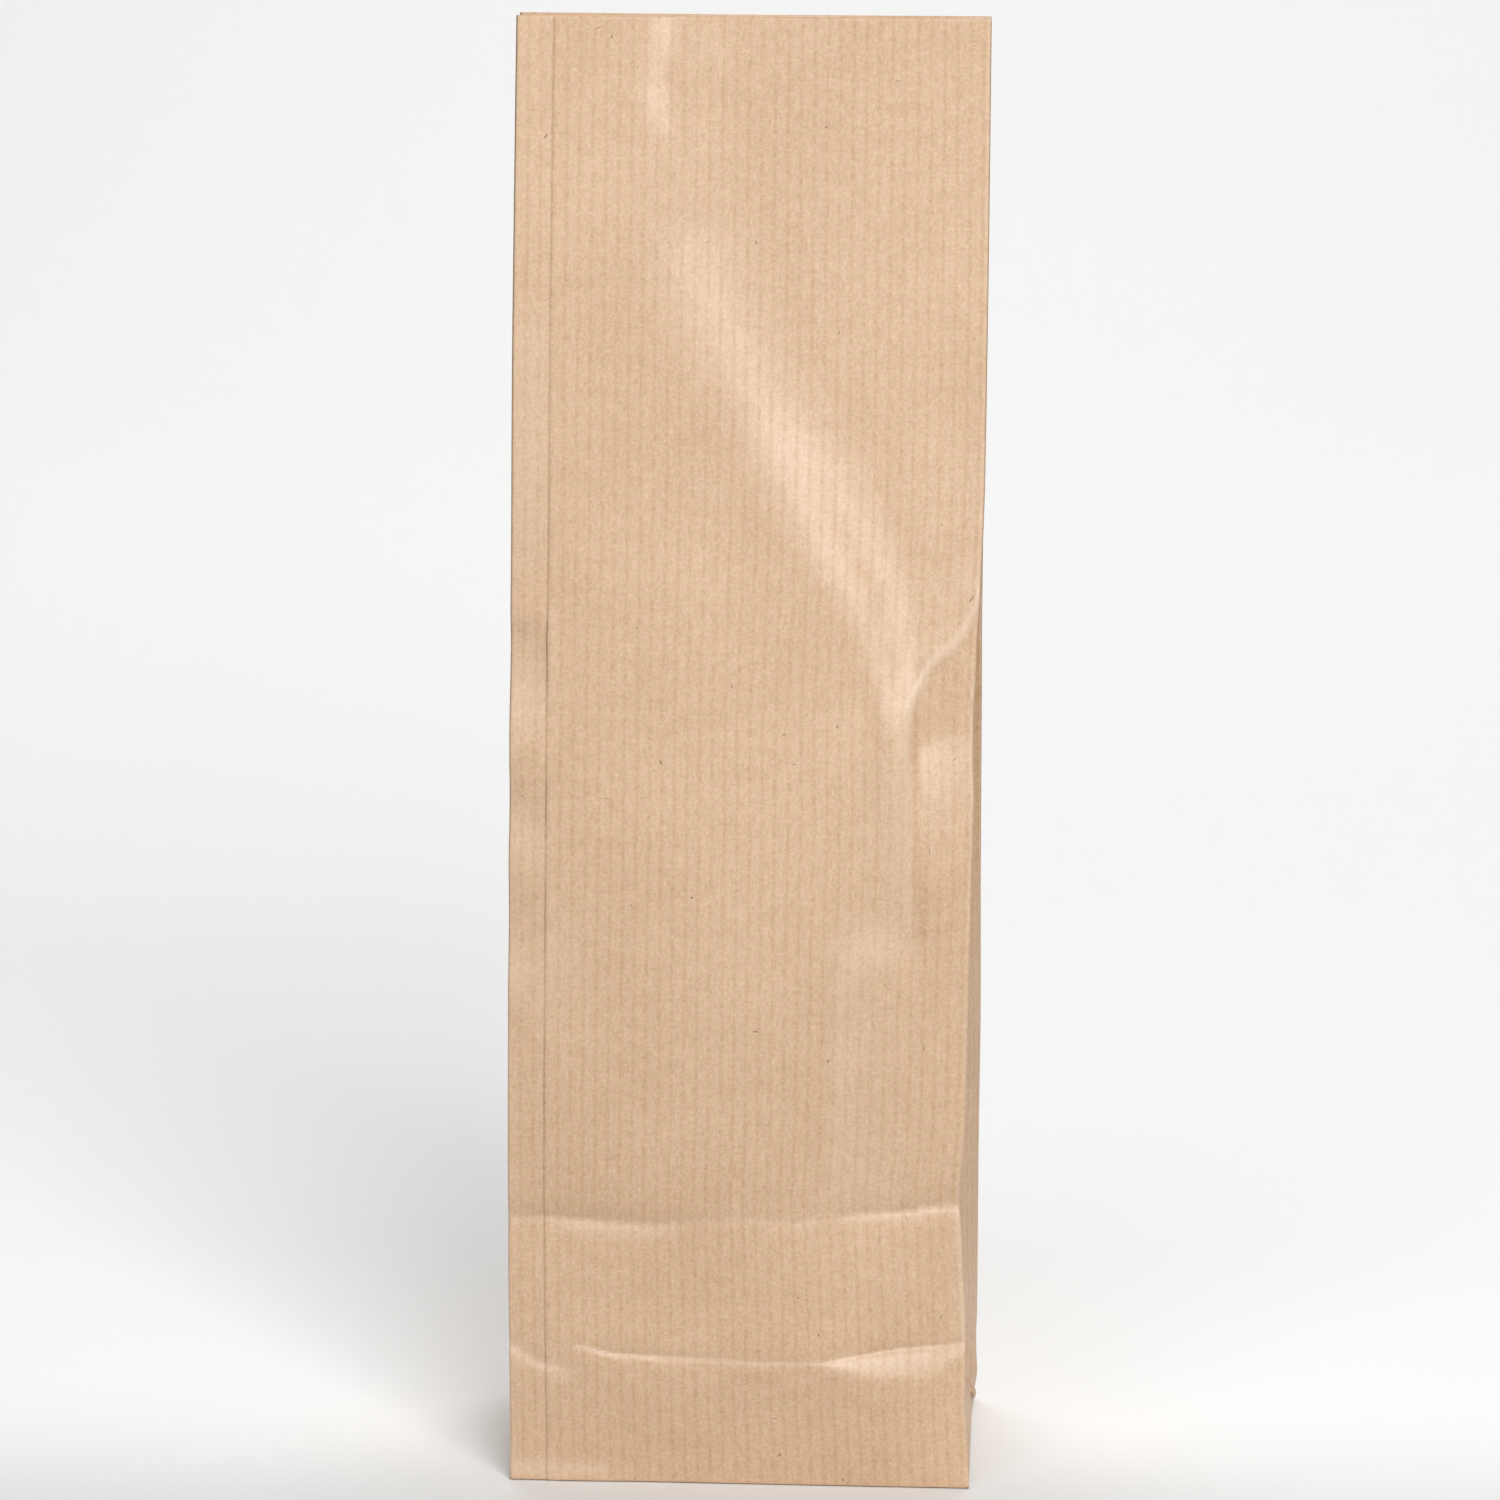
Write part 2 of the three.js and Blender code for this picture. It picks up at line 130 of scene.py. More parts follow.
# how far the front panel stands forward of the middle plane
FRONT_A = [0, 15, 30, 45, 60, 70, 80]
FRONT = [
    [0,   25.0, 25.0, 25.0, 25.0, 25.0, 25.0, 25.0],
    [10,  25.5, 26.0, 26.2, 26.2, 26.0, 25.4, 24.4],
    [22,  26.0, 27.1, 27.4, 27.4, 27.1, 25.9, 24.0],
    [34,  25.4, 26.0, 26.2, 26.2, 25.9, 24.9, 22.8],
    [48,  24.7, 25.2, 25.4, 25.4, 25.0, 24.0, 22.0],
    [70,  24.5, 24.9, 25.1, 25.1, 24.7, 23.8, 22.2],
    [98,  23.3, 23.8, 24.0, 24.0, 23.6, 22.8, 21.5],
    [126, 21.0, 21.4, 21.6, 21.6, 21.1, 20.3, 19.2],
    [150, 18.5, 18.6, 18.6, 18.2, 17.3, 16.5, 15.4],
    [170, 15.9, 15.8, 15.5, 15.0, 14.0, 13.1, 12.1],
    [190, 13.2, 13.0, 12.7, 12.0, 11.0, 10.3, 9.5],
    [210, 10.0, 9.9, 9.6, 9.1, 8.3, 7.8, 7.2],
    [235, 5.9, 5.8, 5.5, 5.2, 5.0, 4.9, 4.8],
    [252, 3.6, 3.5, 2.9, 2.5, 2.6, 2.9, 3.2],
]
BACK_B = [0, 20, 40, 60, 80]   # bulge of the back panel beyond its folds, from the right fold
BACK = [
    [0,   0.0, 0.0, 0.0, 0.0, 0.0],
    [25,  0.0, 0.5, 0.8, 0.6, 0.0],
    [50,  0.0, 1.0, 1.6, 1.2, 0.0],
    [84,  0.0, 1.6, 2.3, 1.8, 0.0],
    [126, 0.0, 1.8, 2.5, 1.9, 0.0],
    [164, 0.0, 1.3, 1.9, 1.4, 0.0],
    [210, 0.0, 0.5, 0.6, 0.4, 0.0],
    [252, 0.0, -0.5, -0.9, -0.5, 0.1],
]


def sheet_field(a, z, cols, table):
    zs = [r[0] for r in table]
    at = np.stack([curve(z, zs, [r[1 + j] for r in table]) for j in range(len(cols))], -1)
    flat_a, flat = np.ravel(a), at.reshape(-1, len(cols))
    # cubic across the columns, the same way
    x = np.asarray(cols, float)
    h = np.diff(x)
    d = np.diff(flat, axis=1) / h
    m = np.zeros_like(flat)
    m[:, 0], m[:, -1] = d[:, 0], d[:, -1]
    m[:, 1:-1] = (d[:, :-1] * h[1:] + d[:, 1:] * h[:-1]) / (h[1:] + h[:-1])
    q = np.clip(flat_a, x[0], x[-1])
    k = np.clip(np.searchsorted(x, q, side="right") - 1, 0, len(h) - 1)
    i = np.arange(len(q))
    t = (q - x[k]) / h[k]
    out = ((1 + 2 * t) * (1 - t) ** 2 * flat[i, k] + t * (1 - t) ** 2 * h[k] * m[i, k]
           + t * t * (3 - 2 * t) * flat[i, k + 1] + t * t * (t - 1) * h[k] * m[i, k + 1])
    return out.reshape(np.shape(a))


def to_line(a, z, pts):
    """Distance to a polyline, signed (positive on its left when walked), and
    how far along it the nearest point is, 0 to 1."""
    pts = np.asarray(pts, float)
    seg = np.diff(pts, axis=0)
    ln = np.hypot(seg[:, 0], seg[:, 1])
    cum = np.concatenate([[0], np.cumsum(ln)])
    best = np.full(np.shape(a), 1e9)
    sign = np.ones(np.shape(a))
    along = np.zeros(np.shape(a))
    for i in range(len(seg)):
        px, pz = a - pts[i, 0], z - pts[i, 1]
        t = np.clip((px * seg[i, 0] + pz * seg[i, 1]) / ln[i] ** 2, 0, 1)
        dx, dz = px - t * seg[i, 0], pz - t * seg[i, 1]
        dist = np.hypot(dx, dz)
        side = np.sign(seg[i, 0] * pz - seg[i, 1] * px)
        near = dist < best
        best = np.where(near, dist, best)
        sign = np.where(near, side, sign)
        along = np.where(near, (cum[i] + t * ln[i]) / cum[-1], along)
    return best * sign, along


def fade(t, low, high):
    k = np.clip((t - low) / (high - low), 0, 1)
    return k * k * (3 - 2 * k)


def crease(a, z, pts, height, width, ends=0.12, soft=0.25):
    d, t = to_line(a, z, pts)
    gate = fade(t, -1e-6, ends) * (1 - fade(t, 1 - ends, 1 + 1e-6)) if ends else 1.0
    return height * gate * np.exp(-(np.sqrt(d * d + soft * soft) - soft) / width)


def mound(a, z, at, size, height, turn=0.0):
    c, s = math.cos(math.radians(turn)), math.sin(math.radians(turn))
    u, v = a - at[0], z - at[1]
    p, q = (u * c + v * s) / size[0], (-u * s + v * c) / size[1]
    return height * np.exp(-(p * p + q * q))


def bend(a, z, pts, drop, widths, reach=5.0):
    """A sloping band along a line: the surface falls by `drop` from the right
    of the line to its left, over a band whose half width changes along it."""
    d, t = to_line(a, z, pts)
    w = np.interp(t, np.linspace(0, 1, len(widths)), widths)
    h = np.interp(t, np.linspace(0, 1, len(drop)), drop)
    far = np.exp(-np.maximum(np.abs(d) - 2 * w, 0) / (reach * w))
    ends = fade(t, 0.0, 0.12) * (1 - fade(t, 0.9, 1.0))
    return -h * 0.5 * np.tanh(d / w) * far * ends


def front_relief(a, z):
    """Creases, dents and bends of the front panel, outward in mm."""
    a, z = np.broadcast_arrays(np.asarray(a, float), np.asarray(z, float))
    r = np.zeros(a.shape)
    # the long bend between the belly and the pressed-flat upper right
    r = r + bend(a, z, [(24, 222), (32, 208), (40, 193), (46.5, 182), (52.5, 172.5), (57.5, 163.8), (61.8, 156.2), (64.4, 149), (65.3, 142), (65.4, 134)],
                 [0.3, 0.7, 0.9, 1.1, 1.7, 2.4, 2.7, 2.3, 1.5, 0.6], [6.0, 5.8, 5.0, 4.4, 4.7, 4.9, 4.0, 3.0, 2.0, 1.5], 4.0)
    r = r + mound(a, z, (65.6, 129.0), (2.8, 13.0), 0.75)
    r = r + bend(a, z, [(42, 189), (46, 181), (51, 172.5), (56, 165)], [0.0, 0.25, 0.25, 0.0], [1.6, 1.8, 1.8, 1.6])
    # short soft fold under the mouth
    r = r + bend(a, z, [(26.0, 262), (24.6, 246), (23.2, 240), (24.4, 235), (26, 231)], [0.5, 0.5, 0.6, 0.5, 0.0], [1.3, 1.3, 1.3, 1.3, 1.2])
    r = r + mound(a, z, (30, 246), (5.5, 6), 0.18)
    # dent in the right fold: a curved rim, a dark roof and a light sill
    rim = [(80.5, 156.5), (79.5, 154.5), (78.4, 151.2), (76.2, 147.6), (72.4, 144.4), (70.3, 140.5), (69.1, 136.8),
           (68.5, 131.8), (68.4, 126.8), (69.3, 121.6), (70.3, 113), (70.8, 100), (70.9, 88)]
    d, t = to_line(a, z, rim)
    inside_rim = d > 0
    valley = 129.6 + 0.17 * (a - 69.5)
    top = np.interp(a, [68.4, 69.1, 70.3, 72.4, 76.2, 78.4, 80.5], [131, 136.8, 140.5, 144.4, 147.6, 151.2, 156.5])
    low = np.interp(a, [68.4, 72, 80.5], [122, 107, 101])
    roof = np.clip((top - z) / np.maximum(top - valley, 0.5), 0, 1)
    sill = np.clip((z - low) / np.maximum(valley - low, 0.5), 0, 1)
    shape = np.where(z > valley, roof ** 0.75, sill ** 1.35)
    deep = 2.1 * fade(a, 68.0, 70.8) * (1 - 0.2 * fade(a, 73.0, 80.5))
    shape = shape * np.where(a > 68.4, 1.0, 0.0)
    r = r - deep * shape
    r = r + crease(a, z, rim[:9], 0.40, 1.1, 0.05, 0.15)
    r = r + mound(a, z, (73.0, 135.9), (1.0, 1.0), 0.07)
    # long crease below it, the panel facing right beside it
    d, t = to_line(a, z, [(68.6, 128), (69.3, 121.6), (70.3, 113), (70.9, 100), (71.0, 88)])
    gate = fade(t, 0.0, 0.15) * (1 - fade(t, 0.7, 1.0))
    r = r - gate * 0.62 * np.where(d < 0, np.exp(-np.abs(d) / 2.6), np.exp(-np.abs(d) / 0.6))
    # knock between the two, and the vertical fold that runs down from it
    r = r + mound(a, z, (59.5, 90.5), (8.0, 7.0), 0.75, 20) - mound(a, z, (68, 99), (5, 6), 0.35)
    d, t = to_line(a, z, [(57.2, 96), (57.0, 88), (57.0, 73), (57.1, 49)])
    r = r + 0.34 * fade(t, 0, 0.2) * np.exp(-np.abs(d) / 5.0)
    # mark of the bottom's edge: the paper dips above it and stands out below
    d, t = to_line(a, z, [(-3, 47.0), (7.4, 47.4), (16.3, 46.9), (25.2, 46.5), (34, 47.4), (40.8, 48.2), (48.2, 47.6),
                          (53.9, 47.8), (62.4, 49.1), (69.5, 49.3), (74.8, 49.8), (83, 50.1)])
    depth = np.interp(a, [0, 6, 14, 25, 34, 42, 54, 62, 74, 80], [0.85, 1.15, 1.5, 1.1, 0.62, 0.5, 0.5, 1.0, 1.2, 1.05])
    r = r - depth * np.where(d > 0, np.exp(-np.abs(d) / 3.2), np.exp(-np.abs(d) / 2.3))
    r = r + crease(a, z, [(40.3, 51.2), (40.9, 48.6), (41.5, 47.2)], 0.09, 0.5, 0.2, 0.1)
    r = r + crease(a, z, [(54.9, 52.4), (54.6, 47.9)], 0.10, 0.45, 0.2, 0.1) + mound(a, z, (53.9, 47.5), (0.8, 0.6), 0.08)
    # crease of the folded-flat bottom, across the panel at half the depth
    d, t = to_line(a, z, [(11.0, 25.1), (14, 24.8), (16.5, 24.1), (19.3, 23.6), (26.4, 23.35), (33.4, 23.3), (44, 22.8),
                          (54.5, 23.0), (59.8, 23.8), (68.5, 24.8), (77.3, 25.5), (82, 26.2)])
    depth = np.interp(a, [10, 14, 20, 27, 34, 44, 54, 60, 68, 80], [0.1, 0.5, 0.8, 0.7, 0.4, 0.34, 0.36, 0.4, 0.4, 0.4])
    r = r - depth * np.where(d > 0, np.exp(-np.abs(d) / 1.5), np.exp(-np.abs(d) / 0.42)) * fade(a, 10, 13)
    # light lens of paper under its right end
    lens = np.interp(a, [54, 58, 65, 69, 74, 80], [0.0, 0.6, 1.9, 2.1, 1.7, 0.5])
    under = np.interp(a, [54, 59.8, 65.1, 68.6, 73.8, 80], [22.6, 21.0, 18.9, 18.6, 19.8, 24.0])
    above = np.interp(a, [54, 59.8, 68.5, 77.3, 80], [23.0, 23.8, 24.8, 25.5, 25.9])
    q = (z - under) / np.maximum(above - under, 0.5)
    r = r - lens * np.where(q > 0, np.where(q < 1, np.clip(q, 0, 1) ** 1.1, np.exp(-(q - 1) * (above - under) / 11.0)), 0.0)
    # its left end: a short facet at the seam side
    d, t = to_line(a, z, [(-2, 26.0), (-0.2, 25.0), (2.6, 22.9), (6.1, 21.3), (11.6, 20.3)])
    r = r - 0.7 * (1 - fade(a, 9.5, 12.5)) * np.where(d > 0, np.exp(-np.abs(d) / 2.6), np.exp(-np.abs(d) / 0.8))
    # waves of the strip beside the seam
    wave2 = curve(z, [0, 80, 88, 100, 110, 120, 130.5, 147.3, 152.8, 160, 252],
                  [0, 0, 0.2, -0.3, 0.25, -0.3, 0.35, -0.5, 0.1, 0.0, 0.0])
    r = r + 2.3 * wave2 * np.clip(1 - a / 6.6, 0, 1) ** 0.7
    # its lower edge flares a little at the seam corner
    r = r + 0.40 * np.exp(-z / 1.7) * (1 - fade(a, 12, 24))
    # slow unevenness of a handled sheet
    r = r + (0.10 * np.sin(a / 7.1 + z / 23.0 + 0.6) * np.sin(z / 13.7 - a / 31.0)
             + 0.07 * np.sin(a / 4.3 - z / 11.0 + 2.0) * np.sin(z / 7.9 + 1.1)) * fade(z, 4, 20)
    return r


def front_wear_and_sheen(a, z):
    """Pale marks: rubbed glaze along the creases, and painted highlights and sheen along bends, on the dent's rim and
    in a few patches.
    """
    a, z = np.broadcast_arrays(np.asarray(a, float), np.asarray(z, float))

    def line(pts, half, power, ends=0.12):
        d, t = to_line(a, z, pts)
        gate = fade(t, -1e-6, ends) * (1 - fade(t, 1 - ends, 1 + 1e-6))
        return power * gate * np.exp(-(np.abs(d) / half) ** 2.2)

    def spot(at, size, power, turn=0.0):
        return mound(a, z, at, size, power, turn)

    # painted highlights: along the dent's rim, its light sill, the crease below it, the patch beside the knock, the
    # strip right of the vertical fold and the lower end of the long bend
    w = line([(79.6, 155.4), (78.5, 151.3), (76.2, 147.5), (72.2, 144.3), (70.2, 140.5), (69.0, 136.8)], 0.85, 1.0, 0.06)
    w = np.maximum(w, line([(69.6, 139), (69.0, 136.8), (68.4, 131.8), (68.2, 126.8), (69.0, 121.6)], 0.8, 0.85))
    w = np.maximum(w, line([(70.3, 129.2), (74.3, 130.6), (79.6, 131.7)], 0.7, 0.5))
    w = np.maximum(w, spot((74.0, 127.6), (3.6, 3.4), 0.30, 10))
    d, t = to_line(a, z, [(68.2, 131), (68.4, 122), (69.1, 114), (69.7, 104), (69.9, 92)])
    w = np.maximum(w, 0.45 * fade(t, 0, 0.1) * (1 - fade(t, 0.7, 1.0)) * np.where(d < 0, np.exp(d / 4.6), np.exp(-d / 0.35)))
    w = np.maximum(w, spot((63.0, 96.2), (6.2, 5.2), 0.6, 15))
    d, t = to_line(a, z, [(57.2, 97), (57.0, 88), (57.0, 73), (57.1, 49)])
    w = np.maximum(w, 0.36 * fade(t, 0, 0.12) * (1 - fade(t, 0.9, 1.0)) * np.where(d > 0, np.exp(-d / 8.5), np.exp(d / 0.3)))
    w = np.maximum(w, spot((64.6, 149.5), (3.4, 7.0), 0.55, 8))
    w = np.maximum(w, line([(64.2, 146), (64.8, 139), (65.2, 134.5)], 1.1, 0.6, 0.12))
    # bottom creases, the bottom's edge mark and the lower right fold: rubbed glaze and painted highlights along them
    w = np.maximum(w, line([(10.9, 25.1), (14, 24.75), (16, 24.15), (19.3, 23.6), (27.6, 23.35)], 0.26, 1.6, 0.1))
    w = np.maximum(w, line([(26, 23.35), (33.4, 23.3), (44, 22.8), (56, 23.0)], 0.32, 0.7, 0.1))
    w = np.maximum(w, line([(-1, 25.6), (2.6, 22.95), (6.1, 21.4), (12.5, 20.3)], 1.1, 0.75, 0.08))
    w = np.maximum(w, line([(55, 22.6), (60, 22.4), (66, 21.8), (74, 22.9), (80.5, 25.8)], 1.5, 0.36, 0.08))
    w = np.maximum(w, line([(68.5, 24.7), (75, 25.2), (80.5, 26.0)], 0.5, 0.35, 0.1))
    w = np.maximum(w, line([(-3, 46.9), (7.4, 47.2), (14, 46.9)], 0.6, 0.4, 0.08))
    w = np.maximum(w, line([(6, 46.3), (16.3, 45.9), (25.2, 45.5), (32, 46.2)], 1.7, 0.3, 0.12))
    w = np.maximum(w, line([(30, 46.6), (40.8, 47.6), (54, 47.2)], 1.0, 0.18, 0.1))
    w = np.maximum(w, line([(40.2, 51.4), (40.9, 48.6), (41.4, 47.0)], 0.4, 0.35, 0.1))
    w = np.maximum(w, spot((53.8, 47.4), (1.1, 0.8), 0.9))
    w = np.maximum(w, line([(54.8, 52.4), (54.7, 48)], 0.35, 0.3, 0.1))
    w = np.maximum(w, line([(56, 48.3), (69.5, 48.8), (76, 49.4)], 0.9, 0.2, 0.1))
    w = np.maximum(w, line([(72, 49.4), (78.0, 50.3), (79.6, 49.7), (80.2, 46)], 0.7, 0.75, 0.08))
    w = np.maximum(w, line([(-2, 2.4), (8, 2.4), (18, 2.5)], 1.5, 0.6, 0.08))
    w = np.maximum(w, line([(79.7, 52), (79.8, 38), (79.8, 24)], 0.9, 0.7, 0.08))
    # beside the seam: painted light on the strip by the seam
    w = np.maximum(w, spot((2.6, 139), (3.2, 7.0), 0.42))
    w = np.maximum(w, line([(0.4, 117.5), (2.4, 119.2), (5.4, 119.6)], 0.6, 0.3, 0.1))
    w = np.maximum(w, line([(2.8, 205), (2.6, 180), (2.6, 155)], 3.2, 0.26, 0.15))
    w = np.maximum(w, spot((3.0, 114), (3.2, 4.5), 0.32))
    w = np.maximum(w, spot((0.8, 91), (3.4, 5.0), 0.55))
    w = np.maximum(w, spot((8.0, 94), (4.0, 8.0), 0.34))
    # higher up: painted sheen along the short fold under the mouth and in a few pale patches
    w = np.maximum(w, line([(25.2, 253), (23.9, 246), (22.4, 240.5)], 2.0, 0.15, 0.2))
    w = np.maximum(w, line([(22.6, 242), (23.6, 236), (25.6, 231)], 1.5, 0.28, 0.3))
    w = np.maximum(w, spot((30.5, 246.5), (4.2, 3.0), 0.20))
    w = np.maximum(w, spot((30, 212), (6.5, 9), 0.20, 20))
    w = np.maximum(w, line([(29, 174.5), (32.5, 174), (37, 171.5)], 1.2, 0.22, 0.15))
    w = np.maximum(w, spot((46.3, 194.0), (2.0, 1.6), 0.20))
    return w


def front_tone_and_shade(a, z):
    """Slow unevenness of the paper's own tone, mixed with painted light and shade: darker under the mouth, at the upper
    right edge, along the bottom edge, above the left end of the bottom's edge mark, on the dent's roof, beside the long
    bend and along the right end of the bottom crease; lighter beside the seam and over the middle left.
    """
    a, z = np.broadcast_arrays(np.asarray(a, float), np.asarray(z, float))
    return (mound(a, z, (50, 248), (15, 18), -0.09) + mound(a, z, (34, 126), (32, 42), 0.045)
            + mound(a, z, (80, 190), (7, 26), -0.055) + mound(a, z, (48, 0), (26, 9), -0.06)
            + mound(a, z, (4, 48), (9, 3.5), -0.05) + mound(a, z, (3, 165), (4, 26), 0.02)
            + mound(a, z, (74.8, 138.5), (3.8, 5.0), -0.07) + mound(a, z, (71, 23.6), (9, 2.4), -0.05)
            + mound(a, z, (61, 158), (7, 9), -0.04) + mound(a, z, (2, 240), (4, 14), 0.06))


def panel_front(a, z):
    k = a / W
    xl, xr = curve(z, *X_FL), curve(z, *X_FR)
    lean = sheet_field(a, z, FRONT_A, FRONT)
    # the panel narrows where it turns back at its right fold
    x = xl + (xr - xl) * k
    return np.stack([x, -(lean + front_relief(a, z)), z], -1)


def panel_back(b, z):
    k = b / W
    xr, xl = curve(z, *X_BR), curve(z, *X_BL)
    yr, yl = curve(z, *Y_BR), curve(z, *Y_BL)
    return np.stack([xr + (xl - xr) * k,
                     yr + (yl - yr) * k + sheet_field(b, z, BACK_B, BACK), z], -1)


def gusset(g, z, side):
    """side +1: right gusset, g from the front fold to the back fold.
    side -1: left gusset, g from the back fold to the front fold."""
    a_edge = W if side > 0 else 0.0
    b_edge = 0.0 if side > 0 else W
    zz = np.asarray(z, float)

    def folds(zq):
        f, b = panel_front(np.full_like(zq, a_edge), zq), panel_back(np.full_like(zq, b_edge), zq)
        return (f, b) if side > 0 else (b, f)

    def crease_at(zq):
        p, q = folds(zq)
        mid, dv = (p + q) / 2, (q - p)
        half = np.hypot(dv[..., 0], dv[..., 1]) / 2
        inset = np.sqrt(np.maximum((D / 2) ** 2 - half ** 2, 0.0)) + 0.35
        n = np.stack([dv[..., 1], -dv[..., 0]], -1) / np.maximum(2 * half, 1e-6)[..., None]
        out = mid.copy()
        out[..., :2] -= n * inset[..., None]
        return out

    p, q = folds(zz)
    c = crease_at(np.maximum(zz, D / 2))
    g = np.broadcast_to(g, zz.shape)
    near = np.minimum(g, D - g) / (D / 2)        # 0 at a fold, 1 at the crease
    start = np.where((g <= D / 2)[..., None], p, q)
    upper = start + (c - start) * near[..., None]
    # a slight bow of each half, outward
    n = np.stack([(q - p)[..., 1], -(q - p)[..., 0]], -1)
    n = n / np.maximum(np.linalg.norm(n, axis=-1), 1e-6)[..., None]
    bow = 0.9 * np.sin(np.pi * near) * fade(zz, 25, 70) * (1 - 0.8 * fade(zz, 150, 240))
    upper[..., :2] += n * bow[..., None]
    # below the crease point the gusset opens along two diagonals
    zero = np.zeros_like(zz)
    p0, q0 = folds(zero)
    cp = crease_at(zero + D / 2)
    k = np.clip(zz / (D / 2), 0, 1)[..., None]
    d1, d2 = p0 + (cp - p0) * k, q0 + (cp - q0) * k
    depth = np.minimum(g, D - g)
    on_side = depth <= np.maximum(zz, 1e-6)
    frac = np.clip(depth / np.maximum(zz, 1e-6), 0, 1)[..., None]
    fromf = np.where((g <= D / 2)[..., None], p, q)
    tod = np.where((g <= D / 2)[..., None], d1, d2)
    flank = fromf + (tod - fromf) * frac
    span = np.maximum(D - 2 * zz, 1e-6)
    mid = d1 + (d2 - d1) * np.clip((g - zz) / span, 0, 1)[..., None]
    lower = np.where(on_side[..., None], flank, mid)
    out = np.where((zz < D / 2)[..., None], lower, upper)
    if side > 0:
        out[..., 0] += mound(g, zz, (45.4, 2.9), (2.3, 1.6), 1.5) * fade(D - g, 0.0, 2.5)
    out[..., 2] = zz
    return out


def spaced(low, high, gap):
    n = max(1, int(round((high - low) / gap)))
    return list(np.linspace(low, high, n + 1))


def columns():
    """Sheet columns round the tube: (part, place on it, sheet coordinate,
    distance to the nearest pressed fold, its kind)."""
    low = [0.35, 0.9, 1.7, 2.7, 3.9, 5.2, 6.6, 8.1, 9.7, 11.4, 13.1, 14.8, 16.5, 18.2, 19.9, 21.5, 22.8, 23.8, 24.4]
    front = [0, 0.35, 0.9, 1.8, 3.0, 4.2, 5.3, 6.0, 6.37, 6.40, 6.62, 7.2, 8.2, 9.5, 10.9, 12.3, 13.7, 15.1, 16.38, 16.42]
    front += spaced(16.42, 60, 1.3)[1:] + spaced(60, 78.2, 0.75)[1:] + [79.1, 79.65, 80.0]
    half = low + [24.8]
    gus = half + [25.0] + [D - v for v in reversed(half)]
    back = [0, 0.35, 0.9] + spaced(2.0, 78.0, 2.0) + [79.1, 79.65, 80.0]
    cols = []
    for v in front:
        cols.append(("front", v, v, min(v, W - v), "fold"))
    for v in gus:
        d = min(v, D - v)
        cols.append(("right", v, W + v, min(d, D / 2 - d), "fold" if d < 12 else "crease"))
    for v in back:
        cols.append(("back", v, W + D + v, min(v, W - v), "fold"))
    for v in gus:
        d = min(v, D - v)
        cols.append(("left", v, 2 * W + D + v, min(d, D / 2 - d), "fold" if d < 12 else "crease"))
    return cols, low


def rows(low):
    zs = list(low) + [24.8, 25.0]
    zs = [v for v in zs if v > 0.4]
    zs = [0.45] + [v for v in zs if v < 20.5] + spaced(20.7, 26.7, 0.42)
    zs += spaced(26.7, 45.0, 1.5)[1:] + spaced(45.0, 52.5, 0.55)[1:] + spaced(52.5, 92, 1.5)[1:]
    zs += spaced(92, 126, 1.35)[1:] + spaced(126, 162, 0.9)[1:] + spaced(162, 250, 1.65)[1:]
    zs += [250.9, 251.5, 252.0, 2.2, 3.3, 4.5, 5.8]
    return np.array(sorted(zs))
# geometry-end


